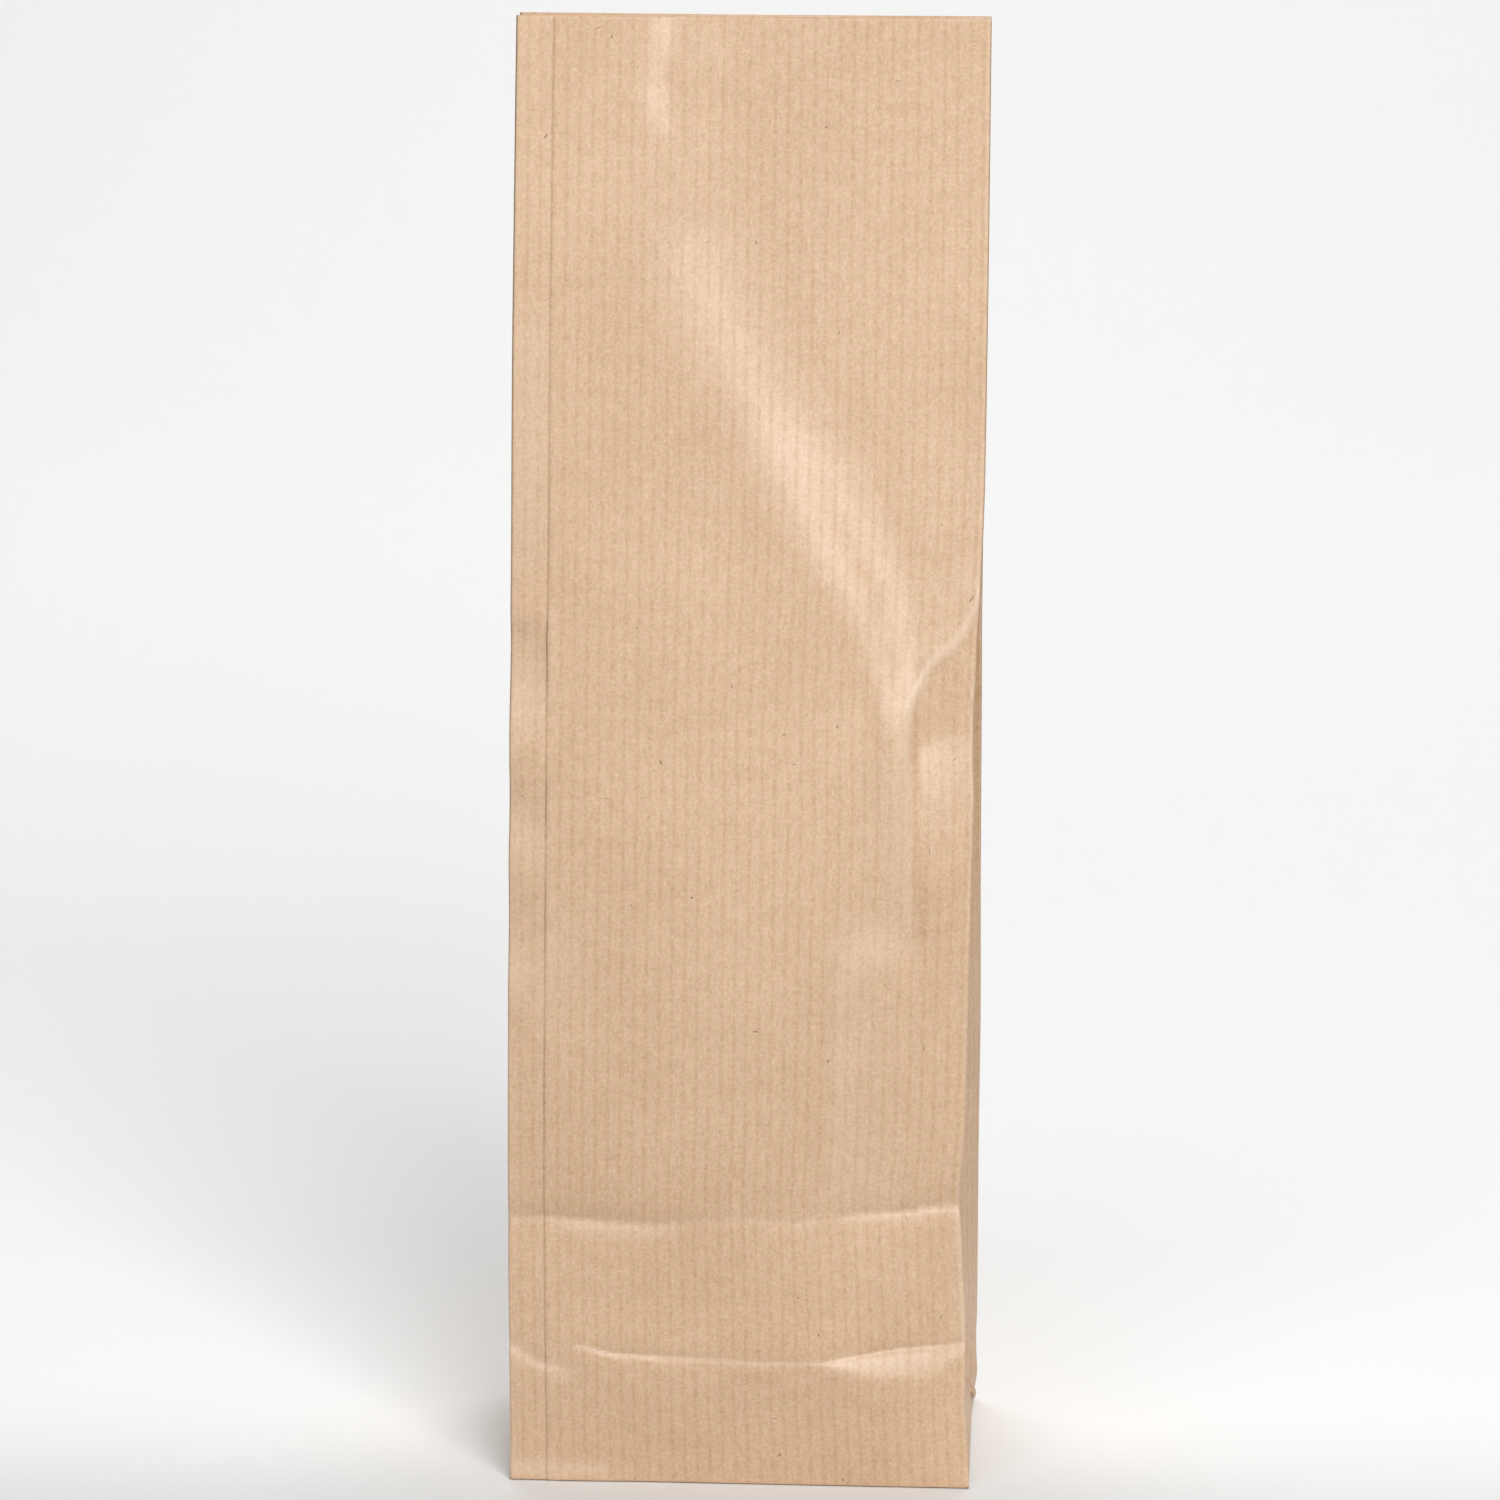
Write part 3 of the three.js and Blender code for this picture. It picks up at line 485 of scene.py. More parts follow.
def build_sheet():
    cols, low = columns()
    zs = rows(low)
    nc, nr = len(cols), len(zs)
    P = np.zeros((nr, nc, 3))
    for name, fn in (("front", lambda v, z: panel_front(v, z)),
                     ("back", lambda v, z: panel_back(v, z)),
                     ("right", lambda v, z: gusset(v, z, 1)),
                     ("left", lambda v, z: gusset(v, z, -1))):
        idx = [i for i, c in enumerate(cols) if c[0] == name]
        v = np.array([cols[i][1] for i in idx])
        vv, zz = np.meshgrid(v, zs)
        P[:, idx] = fn(vv, zz)

    # grid normals, out of the tube
    du = np.roll(P, -1, 1) - np.roll(P, 1, 1)
    dv = np.zeros_like(P)
    dv[1:-1] = P[2:] - P[:-2]
    dv[0], dv[-1] = P[1] - P[0], P[-1] - P[-2]
    N = np.cross(du, dv)
    # at folds the two sides count alike, however wide their quads are
    e1, e2 = np.roll(P, -1, 1) - P, P - np.roll(P, 1, 1)
    e1 /= np.maximum(np.linalg.norm(e1, axis=-1, keepdims=True), 1e-9)
    e2 /= np.maximum(np.linalg.norm(e2, axis=-1, keepdims=True), 1e-9)
    N2 = np.cross(e1 + e2, dv)
    N = N2 / np.maximum(np.linalg.norm(N2, axis=-1, keepdims=True), 1e-9)

    out = np.full(nc, T / 2)
    inn = np.full(nc, T / 2)
    lift_o, lift_i = np.zeros(nc), np.zeros(nc)
    for i, (part, v, u, dist, kind) in enumerate(cols):
        if kind == "fold":
            inn[i] = {0.0: 0.08}.get(round(dist, 2), min(T / 2, 0.055 * dist)) if dist < 1.05 else T / 2
            out[i] = 0.05 if dist < 0.01 else T / 2
        else:
            out[i] = min(T / 2, 0.1 * dist) if dist > 0.01 else 0.07
        if part == "front" and 0.01 < W - v:
            back_to = (W - v) / (W - SEAM_A)
            if v > SEAM_A - 0.01:
                lift_o[i] = SEAM_LIFT * min(1.0, back_to * 1.05)
            if v > SEAM_END:
                lift_i[i] = SEAM_LIFT * min(1.0, back_to * 1.05)
    edge_lift = np.zeros((nr, nc))
    for i, (part, v, *_r) in enumerate(cols):
        if part == "front" and SEAM_A - 0.01 < v < SEAM_A + 2.2:
            k = (v - SEAM_A) / 1.2
            wav = 0.02 + 0.03 * np.sin(zs / 9.0) + 0.02 * np.sin(zs / 3.7 + 1.0) + 0.25 * np.exp(-((zs - 148.5) / 4.5) ** 2)
            tight = 0.035 * fade(zs, 158, 190)
            edge_lift[:, i] = (np.maximum(wav * (1 - fade(zs, 158, 190)), 0.0) - tight) * math.exp(-k * k)
    O = P + N * (out[None, :] + lift_o[None, :] + edge_lift)[..., None]
    I = P - N * (inn - lift_i)[None, :, None]
    O[-1, :, 2] = I[-1, :, 2] = P[-1, :, 2]
    O[0, :, 2] = I[0, :, 2] = zs[0]

    # pale marks: rubbed glaze on creases and fold edges, and painted highlights and sheen on the front's bends and
    # patches
    wear_and_sheen = np.zeros((nr, nc))
    fi_ = [i for i, c in enumerate(cols) if c[0] == "front"]
    va, za = np.meshgrid(np.array([cols[i][1] for i in fi_]), zs)
    wear_and_sheen[:, fi_] = front_wear_and_sheen(va, za)
    # paper tone and painted light and shade, per vertex
    tone_and_shade = np.zeros((nr, nc))
    tone_and_shade[:, fi_] = front_tone_and_shade(va, za)
    gi_ = [i for i, c in enumerate(cols) if c[0] == "right"]
    ga, gz = np.meshgrid(np.array([cols[i][1] for i in gi_]), zs)
    # painted shade: the right gusset is darkened all over, more once past its front fold, more above its foot, most
    # over its middle height where it lies in the pocket behind the front panel, and a little less near the mouth
    tone_and_shade[:, gi_] = (-0.10 * fade(ga, 0.2, 2.0) * (0.7 + 0.3 * fade(gz, 12, 40)) * (1 - 0.35 * fade(gz, 190, 235))
                    - 0.05 * fade(gz, 95, 125) * (1 - fade(gz, 140, 185)) - 0.03)
    for i, c in enumerate(cols):
        if c[3] < 0.4 and c[4] == "fold":
            wear_and_sheen[:, i] = np.maximum(wear_and_sheen[:, i], 0.22 + 0.12 * np.sin(zs / 6.1 + i) * np.sin(zs / 2.3))

    verts, faces, uvs = [], [], []
    verts.extend(O.reshape(-1, 3))
    verts.extend(I.reshape(-1, 3))
    base_i = nr * nc
    U = np.array([c[2] for c in cols])

    def uv_at(j, wrap, z):
        return (U[j] + (2 * W + 2 * D if wrap and j == 0 else 0.0), z)

    def cell(r, j, inner):
        j2 = (j + 1) % nc
        w = j2 == 0
        b = base_i if inner else 0
        q = [b + r * nc + j, b + r * nc + j2, b + (r + 1) * nc + j2, b + (r + 1) * nc + j]
        t = [uv_at(j, False, zs[r]), uv_at(j2, w, zs[r]), uv_at(j2, w, zs[r + 1]), uv_at(j, False, zs[r + 1])]
        # along a gusset's diagonal fold the cell is split on the fold
        part, v = cols[j][0], cols[j][1]
        split = None
        if part in ("right", "left") and zs[r + 1] <= D / 2 + 1e-6:
            v2 = cols[j2][1] if cols[j2][0] == part else D
            if abs(v - zs[r]) < 1e-6 and abs(v2 - zs[r + 1]) < 1e-6:
                split = [(0, 1, 2), (0, 2, 3)]
            if abs(D - v - zs[r + 1]) < 1e-6 and abs(D - v2 - zs[r]) < 1e-6:
                split = [(0, 1, 3), (1, 2, 3)]
        parts = split or [(0, 1, 2, 3)]
        for ids in parts:
            ids = ids[::-1] if inner else ids
            faces.append([q[k] for k in ids])
            uvs.append([t[k] for k in ids])

    for r in range(nr - 1):
        for j in range(nc):
            cell(r, j, False)
            cell(r, j, True)
    # the cut edge of the mouth
    top = nr - 1
    for j in range(nc):
        j2 = (j + 1) % nc
        w = j2 == 0
        faces.append([top * nc + j, top * nc + j2, base_i + top * nc + j2, base_i + top * nc + j])
        uvs.append([uv_at(j, False, H), uv_at(j2, w, H), uv_at(j2, w, H + T), uv_at(j, False, H + T)])

    # ---- bottom: rounded lower edge, then the glued flaps --------------------
    loop = O[0, :, :2].copy()
    mid = np.array([0.0, 0.0])
    nxy = N[0, :, :2] / np.maximum(np.linalg.norm(N[0, :, :2], axis=-1, keepdims=True), 1e-9)
    corner_ids = [0, next(i for i, c in enumerate(cols) if c[0] == "front" and c[1] == W),
                  next(i for i, c in enumerate(cols) if c[0] == "back" and c[1] == 0),
                  next(i for i, c in enumerate(cols) if c[0] == "back" and c[1] == W)]
    ring1, ring2 = loop - nxy * 0.10, loop - nxy * 0.36
    for ci in corner_ids:
        ring1[ci] = loop[ci] - nxy[ci] * 0.14
        ring2[ci] = loop[ci] - nxy[ci] * 0.50
    fl, fr, br, bl = (ring2[i] for i in corner_ids)

    LEVEL = {"B": 0.0, "A": 0.12, "S": 0.24}
    bi = (FLAP - D / 2)                       # flap reach past the middle
    half_cut = W / 2 - FLAP

    def meet(p1, p2, p3, p4):
        a1, a2 = p2 - p1, p4 - p3
        t = ((p3 - p1)[0] * a2[1] - (p3 - p1)[1] * a2[0]) / (a1[0] * a2[1] - a1[1] * a2[0])
        return p1 + a1 * t

    br_tip, bl_tip = np.array([half_cut, -bi]), np.array([-half_cut, -bi])
    ar_tip, al_tip = np.array([half_cut, bi]), np.array([-half_cut, bi])
    mr, ml = meet(fr, ar_tip, br, br_tip), meet(fl, al_tip, bl, bl_tip)
    poly_b = np.array([br, bl, ml, bl_tip, br_tip, mr])
    poly_a = np.array([fl, fr, mr, br_tip, bl_tip, ml])

    def inside(poly, q):
        hit = False
        for i in range(len(poly)):
            p1, p2 = poly[i], poly[(i + 1) % len(poly)]
            if (p1[1] > q[1]) != (p2[1] > q[1]) and q[0] < (p2[0] - p1[0]) * (q[1] - p1[1]) / (p2[1] - p1[1]) + p1[0]:
                hit = not hit
        return hit

    def level(region, q):
        d_front = min(np.hypot(*(q - fl)), np.hypot(*(q - fr)))
        d_back = min(np.hypot(*(q - bl)), np.hypot(*(q - br)))
        v = LEVEL[region]
        v = v + (0.12 - v) * max(0.0, 1 - d_front / 3.0)
        v = v + (0.0 - v) * max(0.0, 1 - d_back / 3.0)
        return round(float(v), 5)

    pts2 = [tuple(p) for p in ring2]
    edges2 = [(i, (i + 1) % nc) for i in range(nc)]
    names = {}
    for key, p in (("mr", mr), ("ml", ml), ("brt", br_tip), ("blt", bl_tip)):
        names[key] = len(pts2)
        pts2.append(tuple(p))
    ci = dict(fl=corner_ids[0], fr=corner_ids[1], br=corner_ids[2], bl=corner_ids[3])
    edges2 += [(ci["br"], names["mr"]), (names["mr"], names["brt"]), (names["brt"], names["blt"]),
               (names["blt"], names["ml"]), (names["ml"], ci["bl"]), (ci["fr"], names["mr"]), (ci["fl"], names["ml"])]
    for x in np.arange(-37.5, 38, 2.5):
        for y in np.arange(-22.5, 23, 2.5):
            q = np.array([x + 0.02, y + 0.01])
            seg_gap = min(abs(abs(q[0]) - (15 + q[1])), abs(abs(q[0]) - (15 - q[1])), 9.0)
            if seg_gap > 0.6:
                pts2.append((float(q[0]), float(q[1])))
    face0 = [list(range(nc))]
    vo, _eo, fo, _ov, _oe, _of = geometry.delaunay_2d_cdt(
        [Vector(p) for p in pts2], edges2, face0, 1, 1e-5)
    vo = [np.array([v.x, v.y]) for v in vo]

    def region_of(tri):
        c = sum(vo[i] for i in tri) / len(tri)
        if inside(poly_b, c):
            return "B"
        return "A" if inside(poly_a, c) else "S"

    made = {}

    def bottom_vertex(i, region):
        z = level(region, vo[i])
        key = (i, z)
        if key not in made:
            made[key] = len(verts)
            verts.append(np.array([vo[i][0], vo[i][1], z]))
        return made[key]

    def bottom_uv(region, q, side=1):
        if region == "A":
            return (q[0] + W / 2, -(q[1] + D / 2))
        if region == "B":
            return (W + D + W / 2 - q[0], -(D / 2 - q[1]))
        if q[0] > 0:
            return (W + q[1] + D / 2, -(W / 2 - q[0]))
        return (2 * W + D + D / 2 - q[1], -(q[0] + W / 2))

    edge_use = {}
    for tri in fo:
        tri = list(tri)
        reg = region_of(tri)
        a2 = sum(vo[tri[k]][0] * vo[tri[(k + 1) % len(tri)]][1] - vo[tri[(k + 1) % len(tri)]][0] * vo[tri[k]][1]
                 for k in range(len(tri)))
        if a2 > 0:                            # seen from below
            tri = tri[::-1]
        faces.append([bottom_vertex(i, reg) for i in tri])
        uvs.append([bottom_uv(reg, vo[i]) for i in tri])
        for k in range(len(tri)):
            e = (tri[k], tri[(k + 1) % len(tri)])
            edge_use.setdefault(frozenset(e), []).append((e, reg))
    for key, uses in edge_use.items():
        if len(uses) == 2 and uses[0][1] != uses[1][1]:
            (e, r1), (_e2, r2) = uses
            quad = [bottom_vertex(e[1], r1), bottom_vertex(e[0], r1), bottom_vertex(e[0], r2), bottom_vertex(e[1], r2)]
            ids = []
            for v in quad:
                if v not in ids:
                    ids.append(v)
            if len(ids) >= 3:
                faces.append(ids)
                m = bottom_uv(r1, (vo[e[0]] + vo[e[1]]) / 2)
                uvs.append([m] * len(ids))
    # rounded lower edge
    near_idx = []
    for j in range(nc):
        d = [float(np.hypot(*(vo[i] - ring2[j]))) for i in range(len(vo))] if j == 0 else None
        near_idx.append(None)
    tree = np.array(vo)
    for j in range(nc):
        near_idx[j] = int(np.argmin(np.hypot(tree[:, 0] - ring2[j][0], tree[:, 1] - ring2[j][1])))
    side_of = {"front": "A", "back": "B", "right": "S", "left": "S"}
    r1_start = len(verts)
    low_v = []
    for j in range(nc):
        reg = side_of[cols[j][0]]
        z = level(reg, vo[near_idx[j]])
        low_v.append(bottom_vertex(near_idx[j], reg))
        verts.append(np.array([ring1[j][0], ring1[j][1], z + 0.45 * (zs[0] - z) - 0.04]))
    for j in range(nc):
        j2 = (j + 1) % nc
        w = j2 == 0
        faces.append([r1_start + j, r1_start + j2, j2, j])
        uvs.append([uv_at(j, False, 0.2), uv_at(j2, w, 0.2), uv_at(j2, w, zs[0]), uv_at(j, False, zs[0])])
        faces.append([low_v[j], low_v[j2], r1_start + j2, r1_start + j])
        uvs.append([uv_at(j, False, -0.1), uv_at(j2, w, -0.1), uv_at(j2, w, 0.2), uv_at(j, False, 0.2)])
    # floor inside
    floor_loop = [tuple(p[:2]) for p in I[0]]
    grid = [(float(x), float(y)) for x in np.arange(-36, 37, 6.0) for y in np.arange(-21, 22, 6.0)]
    vi, _e, fi, _a, _b, _c = geometry.delaunay_2d_cdt(
        [Vector(p) for p in floor_loop + grid], [(i, (i + 1) % nc) for i in range(nc)],
        [list(range(nc))], 1, 1e-5)
    vi = np.array([(v.x, v.y) for v in vi])
    near = {}
    for j in range(nc):
        near[int(np.argmin(np.hypot(vi[:, 0] - floor_loop[j][0], vi[:, 1] - floor_loop[j][1])))] = base_i + j
    fmap = {}
    for i in range(len(vi)):
        if i in near:
            fmap[i] = near[i]
        else:
            fmap[i] = len(verts)
            verts.append(np.array([vi[i][0], vi[i][1], zs[0]]))
    for tri in fi:
        tri = list(tri)
        a2 = sum(vi[tri[k]][0] * vi[tri[(k + 1) % 3]][1] - vi[tri[(k + 1) % 3]][0] * vi[tri[k]][1] for k in range(3))
        if a2 < 0:
            tri = tri[::-1]
        faces.append([fmap[i] for i in tri])
        uvs.append([(vi[i][0] + 400.0, vi[i][1]) for i in tri])

    ob = add_object("bag_sheet", np.array(verts) * MM, faces)
    me = ob.data
    uvl = me.uv_layers.new(name="sheet")
    flat = np.array([c for f in uvs for c in f], np.float32) * 0.01
    uvl.uv.foreach_set("vector", flat.ravel())
    for poly in me.polygons:
        poly.use_smooth = True
    # pale marks per vertex: rubbed glaze and painted highlights and sheen
    rub_and_sheen = me.attributes.new(name="rubbed_and_sheen", type="FLOAT", domain="POINT")
    vals = np.zeros(len(me.vertices), np.float32)
    vals[:nr * nc] = wear_and_sheen.reshape(-1)
    rub_and_sheen.data.foreach_set("value", vals)
    # attribute of paper tone with painted light and shade
    even = me.attributes.new(name="tone_and_shade", type="FLOAT", domain="POINT")
    vals = np.zeros(len(me.vertices), np.float32)
    vals[:nr * nc] = tone_and_shade.reshape(-1)
    even.data.foreach_set("value", vals)
    return ob


bag = build_sheet()
bag.data.validate()
print("sheet", len(bag.data.vertices), "vertices", sum(len(p.vertices) - 2 for p in bag.data.polygons), "triangles")


# --------------------------------------------------------------------------
# material
# --------------------------------------------------------------------------
class Nodes:
    def __init__(self, name):
        self.mat = bpy.data.materials.new(name)
        self.mat.use_nodes = True
        self.t = self.mat.node_tree
        self.t.nodes.clear()

    def put(self, kind, ins=None, **props):
        n = self.t.nodes.new(kind)
        for k, v in props.items():
            setattr(n, k, v)
        for k, v in (ins or {}).items():
            if isinstance(v, bpy.types.NodeSocket):
                self.t.links.new(v, n.inputs[k])
            else:
                n.inputs[k].default_value = v
        return n

    def math(self, op, a, b=None, c=None, clamp=False):
        ins = {0: a}
        if b is not None:
            ins[1] = b
        if c is not None:
            ins[2] = c
        return self.put("ShaderNodeMath", ins, operation=op, use_clamp=clamp).outputs[0]

    def vmath(self, op, a, b=None, s=None, out=0):
        n = self.put("ShaderNodeVectorMath", {0: a}, operation=op)
        if b is not None:
            if isinstance(b, bpy.types.NodeSocket):
                self.t.links.new(b, n.inputs[1])
            else:
                n.inputs[1].default_value = b
        if s is not None:
            n.inputs["Scale"].default_value = s
        return n.outputs[out]

    def noise(self, vec, scale, detail=2.0, rough=0.5, distortion=0.0, kind="3D"):
        n = self.put("ShaderNodeTexNoise", {"Vector": vec, "Scale": scale, "Detail": detail,
                                            "Roughness": rough, "Distortion": distortion},
                     noise_dimensions=kind)
        return n.outputs["Fac"]

    def ramp(self, v, low, high, out_low=0.0, out_high=1.0, smooth=True):
        return self.put("ShaderNodeMapRange", {"Value": v, "From Min": low, "From Max": high,
                                               "To Min": out_low, "To Max": out_high},
                        interpolation_type="SMOOTHSTEP" if smooth else "LINEAR", clamp=True).outputs[0]

    def mix(self, fac, a, b, blend="MIX"):
        n = self.put("ShaderNodeMix", {}, data_type="RGBA", blend_type=blend)
        for sock, v in ((n.inputs[0], fac), (n.inputs[6], a), (n.inputs[7], b)):
            if isinstance(v, bpy.types.NodeSocket):
                self.t.links.new(v, sock)
            else:
                sock.default_value = v
        return n.outputs[2]


RIB = 2.19


SPECKS_AND_SHADOW = [(5.2, 231.9, 50, 0.55, 0.14), (16.1, 248.6, 80, 0.25, 0.15), (52.4, 233.8, 20, 0.22, 0.16),
          (40.9, 214.5, 100, 0.3, 0.13), (26.2, 127.3, 110, 0.42, 0.13), (31.8, 104.3, 30, 0.24, 0.17),
          (43.2, 81.3, 0, 0.38, 0.14), (55.9, 76.3, 95, 0.3, 0.14), (56.6, 133.7, 70, 0.26, 0.14),
          (47.4, 132.3, 10, 0.3, 0.13), (78.5, 154.9, 50, 0.62, 0.14), (47.2, 5.8, 40, 0.3, 0.17),
          (58.1, 1.4, 120, 0.28, 0.16), (54.4, 28.0, 90, 0.24, 0.14), (50.9, 34.4, 15, 0.22, 0.14),
          # the last entry is no fibre: a painted shadow spot under the small nub at the back corner of the right
          # gusset's foot
          (123.4, 2.7, 90, 0.6, 0.6)]


def kraft_material():
    m = Nodes("kraft_ribbed")
    uv = m.put("ShaderNodeUVMap", uv_map="sheet").outputs[0]
    p = m.vmath("SCALE", uv, s=100.0)             # millimetres on the flat sheet
    sep = m.put("ShaderNodeSeparateXYZ", {0: p})
    u, v = sep.outputs[0], sep.outputs[1]
    # ribs of laid felt: soft dark lines broken into dashes
    wander = m.noise(m.put("ShaderNodeCombineXYZ", {0: m.math("MULTIPLY", u, 0.05), 1: m.math("MULTIPLY", v, 0.012)}).outputs[0], 1.0, 2.0)
    wig = m.noise(m.put("ShaderNodeCombineXYZ", {0: m.math("MULTIPLY", u, 0.4), 1: m.math("MULTIPLY", v, 0.18)}).outputs[0], 1.0, 2.0)
    phase = m.math("ADD", m.math("DIVIDE", u, RIB),
                   m.math("ADD", m.math("MULTIPLY", m.math("SUBTRACT", wander, 0.5), 0.24),
                          m.math("MULTIPLY", m.math("SUBTRACT", wig, 0.5), 0.13)))
    wave = m.math("COSINE", m.math("MULTIPLY", phase, 2 * math.pi))
    rib = m.math("POWER", m.math("MULTIPLY_ADD", wave, 0.5, 0.5), 3.6)     # 1 on a dark line
    dash_v = m.put("ShaderNodeCombineXYZ", {0: m.math("MULTIPLY", m.math("ROUND", phase), 3.7), 1: m.math("MULTIPLY", v, 0.95)}).outputs[0]
    dash = m.ramp(m.noise(dash_v, 1.0, 3.0, 0.6), 0.36, 0.64)
    rib_dark = m.math("MULTIPLY", rib, m.math("MULTIPLY_ADD", dash, 0.72, 0.28))
    # fibres: streaks that mostly run along the sheet, and fine fuzz
    tall = m.put("ShaderNodeCombineXYZ", {0: m.math("MULTIPLY", u, 1.9), 1: m.math("MULTIPLY", v, 0.42)}).outputs[0]
    streak = m.noise(tall, 1.0, 4.0, 0.62, 0.35)
    fuzz = m.noise(p, 1.5, 5.0, 0.62, 0.4)
    grain = m.noise(p, 5.5, 2.0, 0.5)
    cloud = m.noise(p, 0.035, 3.0, 0.5)
    patch = m.noise(p, 0.33, 3.0, 0.55)
    # value: sum of small parts around 1
    val = m.math("MULTIPLY_ADD", m.math("SUBTRACT", streak, 0.5), 0.30, 1.025)
    val = m.math("MULTIPLY_ADD", m.math("SUBTRACT", fuzz, 0.5), 0.46, val)
    val = m.math("MULTIPLY_ADD", m.math("SUBTRACT", grain, 0.5), 0.52, val)
    val = m.math("MULTIPLY_ADD", m.math("SUBTRACT", cloud, 0.5), 0.22, val)
    val = m.math("MULTIPLY_ADD", m.math("SUBTRACT", patch, 0.5), 0.18, val)
    # the tone attribute adds painted light and shade as well as the paper's own tone
    val = m.math("ADD", val, m.put("ShaderNodeAttribute", {}, attribute_name="tone_and_shade").outputs["Fac"])
    # hue: pinkish and yellowish fibre patches
    hue = m.noise(m.vmath("ADD", p, (31.0, 17.0, 0.0)), 0.75, 3.0, 0.6)
    base = m.mix(m.ramp(hue, 0.32, 0.68), (0.652, 0.457, 0.282, 1), (0.668, 0.438, 0.290, 1))
    dev = m.math("SUBTRACT", val, 1.0)
    vec_val = m.put("ShaderNodeCombineColor", {0: val, 1: m.math("MULTIPLY_ADD", dev, 1.3, 1.0),
                                               2: m.math("MULTIPLY_ADD", dev, 1.7, 1.0)}).outputs[0]
    col = m.mix(1.0, base, vec_val, "MULTIPLY")
    ribs = m.put("ShaderNodeCombineColor", {0: m.math("MULTIPLY_ADD", rib_dark, -0.090, 1.0),
                                            1: m.math("MULTIPLY_ADD", rib_dark, -0.140, 1.0),
                                            2: m.math("MULTIPLY_ADD", rib_dark, -0.215, 1.0)}).outputs[0]
    col = m.mix(1.0, col, ribs, "MULTIPLY")
    # short dark fibres, a few in each hand's breadth
    vor = m.put("ShaderNodeTexVoronoi", {"Vector": p, "Scale": 0.062, "Randomness": 1.0}, feature="F1", distance="EUCLIDEAN")
    cell = m.put("ShaderNodeSeparateColor", {0: vor.outputs["Color"]})
    centre = m.vmath("SCALE", vor.outputs["Position"], s=1.0)
    off = m.vmath("SUBTRACT", p, centre)
    turn = m.put("ShaderNodeVectorRotate", {"Vector": off, "Angle": m.math("MULTIPLY", cell.outputs[0], 3.1)}, rotation_type="Z_AXIS").outputs[0]
    so = m.put("ShaderNodeSeparateXYZ", {0: turn})
    bend = m.math("MULTIPLY", m.math("MULTIPLY", so.outputs[0], so.outputs[0]), 0.5)
    ex = m.math("DIVIDE", so.outputs[0], m.math("MULTIPLY_ADD", cell.outputs[1], 0.45, 0.12))
    ey = m.math("DIVIDE", m.math("SUBTRACT", so.outputs[1], bend), 0.085)
    ell = m.math("ADD", m.math("MULTIPLY", ex, ex), m.math("MULTIPLY", ey, ey))
    speck = m.math("MULTIPLY", m.ramp(ell, 1.4, 0.5), m.ramp(cell.outputs[2], 0.66, 0.68))
    col = m.mix(m.math("MULTIPLY", speck, 0.62), col, (0.16, 0.085, 0.055, 1))
    # the larger ones where they lie on the front, and one painted shadow spot under the nub at the foot of the right
    # gusset: place, direction, half length, half width
    for a, z, turn_deg, long_, wide in SPECKS_AND_SHADOW:
        off = m.vmath("SUBTRACT", p, (a, z, 0.0))
        rot = m.put("ShaderNodeVectorRotate", {"Vector": off, "Angle": -math.radians(turn_deg)}, rotation_type="Z_AXIS").outputs[0]
        so = m.put("ShaderNodeSeparateXYZ", {0: rot})
        ex = m.math("DIVIDE", so.outputs[0], long_)
        ey = m.math("DIVIDE", so.outputs[1], wide)
        ell = m.math("ADD", m.math("MULTIPLY", ex, ex), m.math("MULTIPLY", ey, ey))
        col = m.mix(m.math("MULTIPLY", m.ramp(ell, 1.6, 0.5), 0.66), col, (0.15, 0.075, 0.05, 1))
    # rubbed creases, and painted highlights and sheen on bends and patches: paler, and broken up by the fibres
    rubbed_and_sheen = m.put("ShaderNodeAttribute", {}, attribute_name="rubbed_and_sheen").outputs["Fac"]
    rubbed_and_sheen = m.math("MULTIPLY", rubbed_and_sheen, m.math("MULTIPLY_ADD", fuzz, 1.0, 0.5), clamp=True)
    col = m.mix(m.math("MULTIPLY", rubbed_and_sheen, 0.50), col, (0.83, 0.655, 0.505, 1))
    # roughness: machine-glazed, with duller ribs and fibres
    rough = m.math("MULTIPLY_ADD", m.math("SUBTRACT", fuzz, 0.5), 0.16, 0.37)
    rough = m.math("MULTIPLY_ADD", rib_dark, 0.05, rough)
    # relief
    hgt = m.math("MULTIPLY", rib_dark, -0.010)
    hgt = m.math("MULTIPLY_ADD", streak, 0.020, hgt)
    hgt = m.math("MULTIPLY_ADD", fuzz, 0.022, hgt)
    hgt = m.math("MULTIPLY_ADD", grain, 0.006, hgt)
    bump = m.put("ShaderNodeBump", {"Height": hgt, "Strength": 0.6, "Distance": 0.001})
    bsdf = m.put("ShaderNodeBsdfPrincipled", {"Base Color": col, "Roughness": rough, "Normal": bump.outputs[0]})
    bsdf.inputs["IOR"].default_value = 1.5
    bsdf.inputs["Specular IOR Level"].default_value = 0.5
    m.put("ShaderNodeOutputMaterial", {"Surface": bsdf.outputs[0]})
    return m.mat


bag.data.materials.append(kraft_material())
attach(bag, "root")
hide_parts("paper_bag")


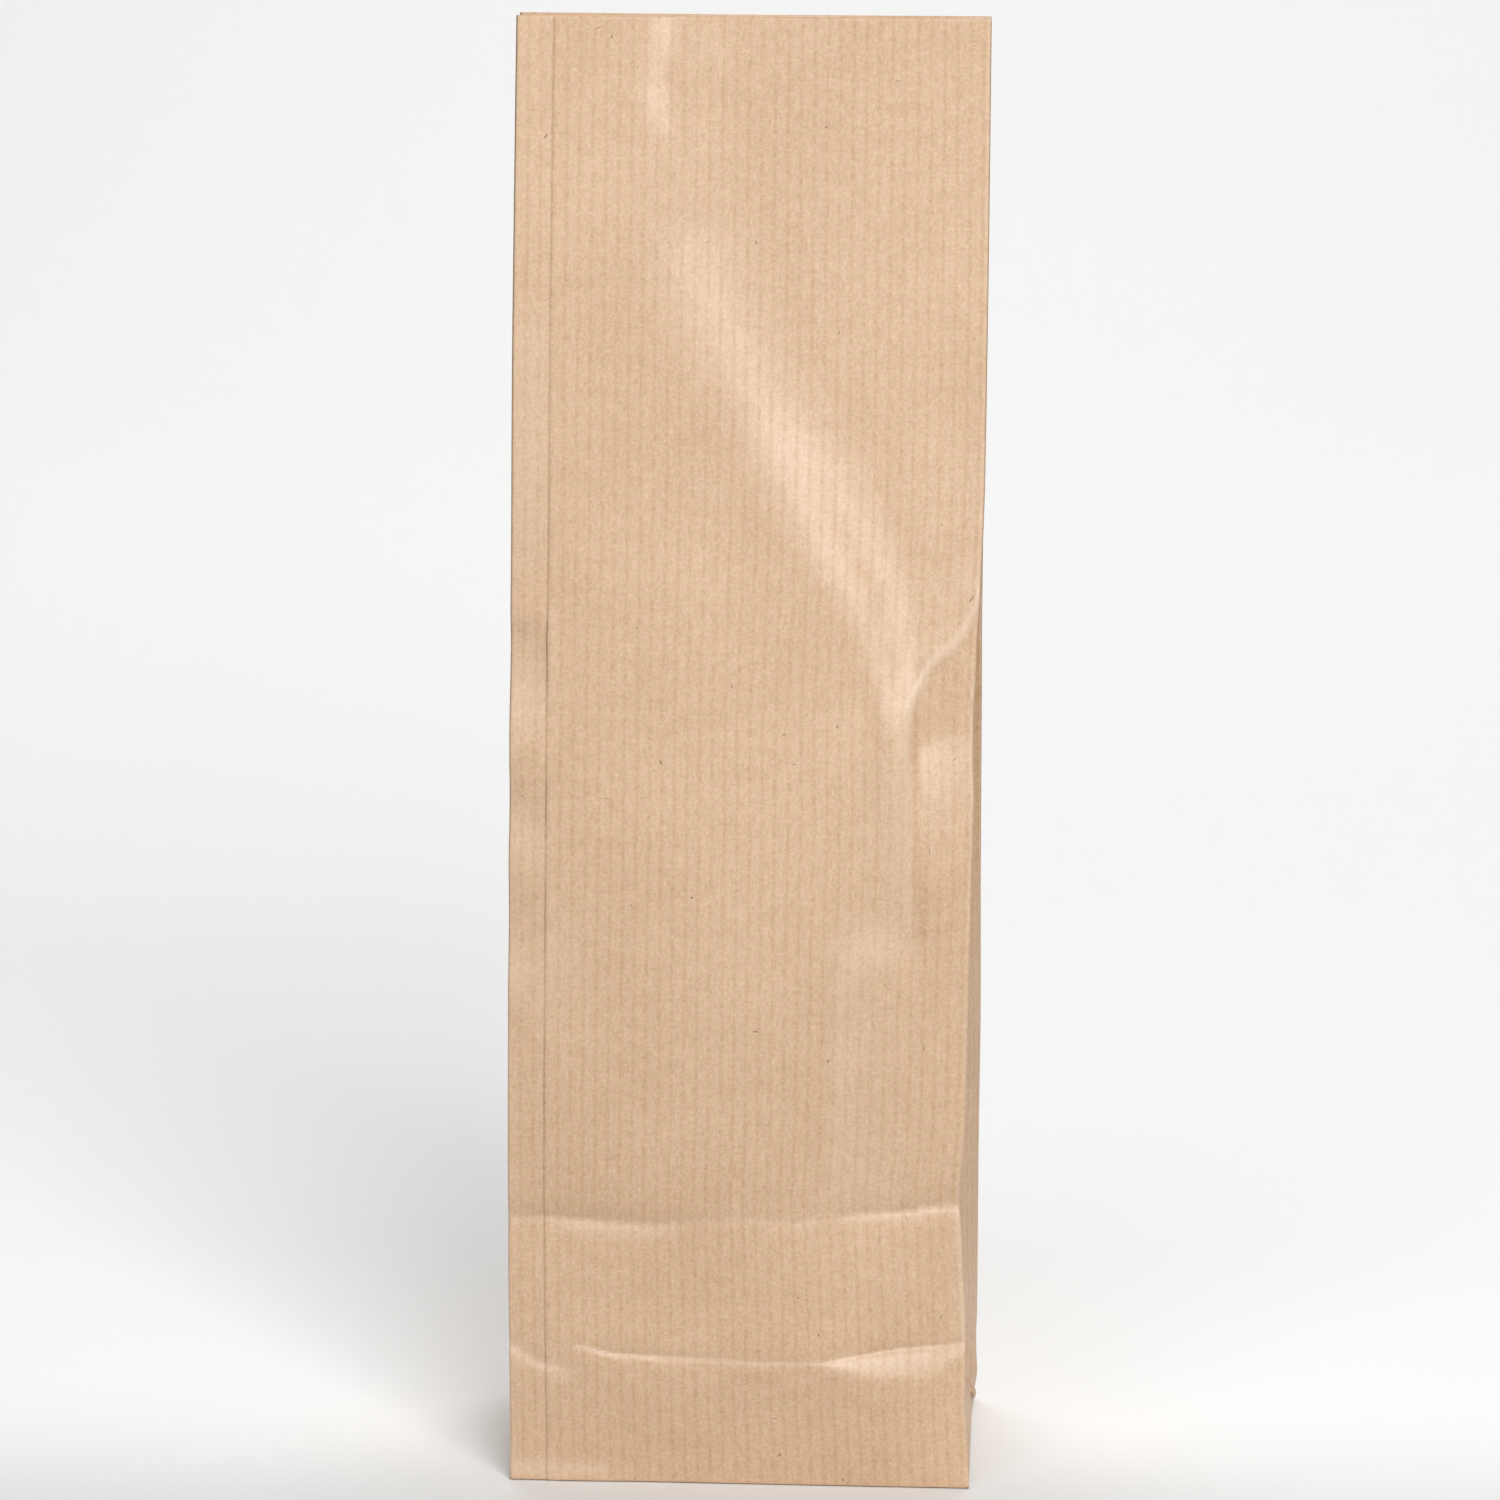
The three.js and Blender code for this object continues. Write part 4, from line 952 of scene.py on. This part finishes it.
# --------------------------------------------------------------------------
# stage and light
# --------------------------------------------------------------------------
def stage():
    n, verts, faces = 24, [], []
    half = 3.0
    prof = [(-3.0, 0.0), (1.2, 0.0)]
    prof += [(1.2 + 0.8 * math.sin(t), 0.8 - 0.8 * math.cos(t)) for t in np.linspace(0.1, math.pi / 2, 12)]
    prof += [(2.0, 3.0)]
    for y, z in prof:
        verts += [(-half, y, z), (half, y, z)]
    for i in range(len(prof) - 1):
        faces.append((2 * i, 2 * i + 1, 2 * i + 3, 2 * i + 2))
    ob = add_object("stage_floor", verts, faces)
    for f in ob.data.polygons:
        f.use_smooth = True
    m = Nodes("stage_white")
    where = m.put("ShaderNodeTexCoord").outputs["Object"]
    deep = m.put("ShaderNodeSeparateXYZ", {0: where}).outputs[1]
    n1 = m.noise(where, 3.0, 2.0)
    near = m.mix(n1, (0.46, 0.46, 0.455, 1), (0.48, 0.48, 0.475, 1))
    c = m.mix(m.ramp(deep, -0.13, 0.03), near, (0.92, 0.92, 0.915, 1))
    b = m.put("ShaderNodeBsdfPrincipled", {"Base Color": c})
    b.inputs["Roughness"].default_value = 0.85
    b.inputs["Specular IOR Level"].default_value = 0.2
    m.put("ShaderNodeOutputMaterial", {"Surface": b.outputs[0]})
    ob.data.materials.append(m.mat)


def area(name, at, aim, size, power, colour=(1, 1, 1)):
    data = bpy.data.lights.new(name, "AREA")
    data.shape = "RECTANGLE"
    data.size, data.size_y = size
    data.energy = power
    data.color = colour
    ob = bpy.data.objects.new(name, data)
    bpy.context.scene.collection.objects.link(ob)
    ob.location = at
    ob.rotation_euler = (Vector(aim) - Vector(at)).to_track_quat("-Z", "Y").to_euler()


stage()
area("key", (0.400, -1.095, 0.73), (0, 0, 0.14), (0.6, 0.5), 11.2)
area("overhead", (0.0, -0.95, 1.55), (0, -0.02, 0.1), (1.6, 0.7), 10.6)
area("backdrop", (0.0, 1.05, 1.5), (0, 1.0, 0.0), (2.2, 1.2), 19.0)
world = bpy.data.worlds.new("studio")
world.use_nodes = True
bg = world.node_tree.nodes.get("Background") or world.node_tree.nodes.new("ShaderNodeBackground")
bg.inputs["Color"].default_value = (1.0, 1.0, 1.0, 1)
bg.inputs["Strength"].default_value = 0.12
bpy.context.scene.world = world
bpy.context.scene.view_settings.view_transform = "Standard"
bpy.context.scene.view_settings.look = "None"
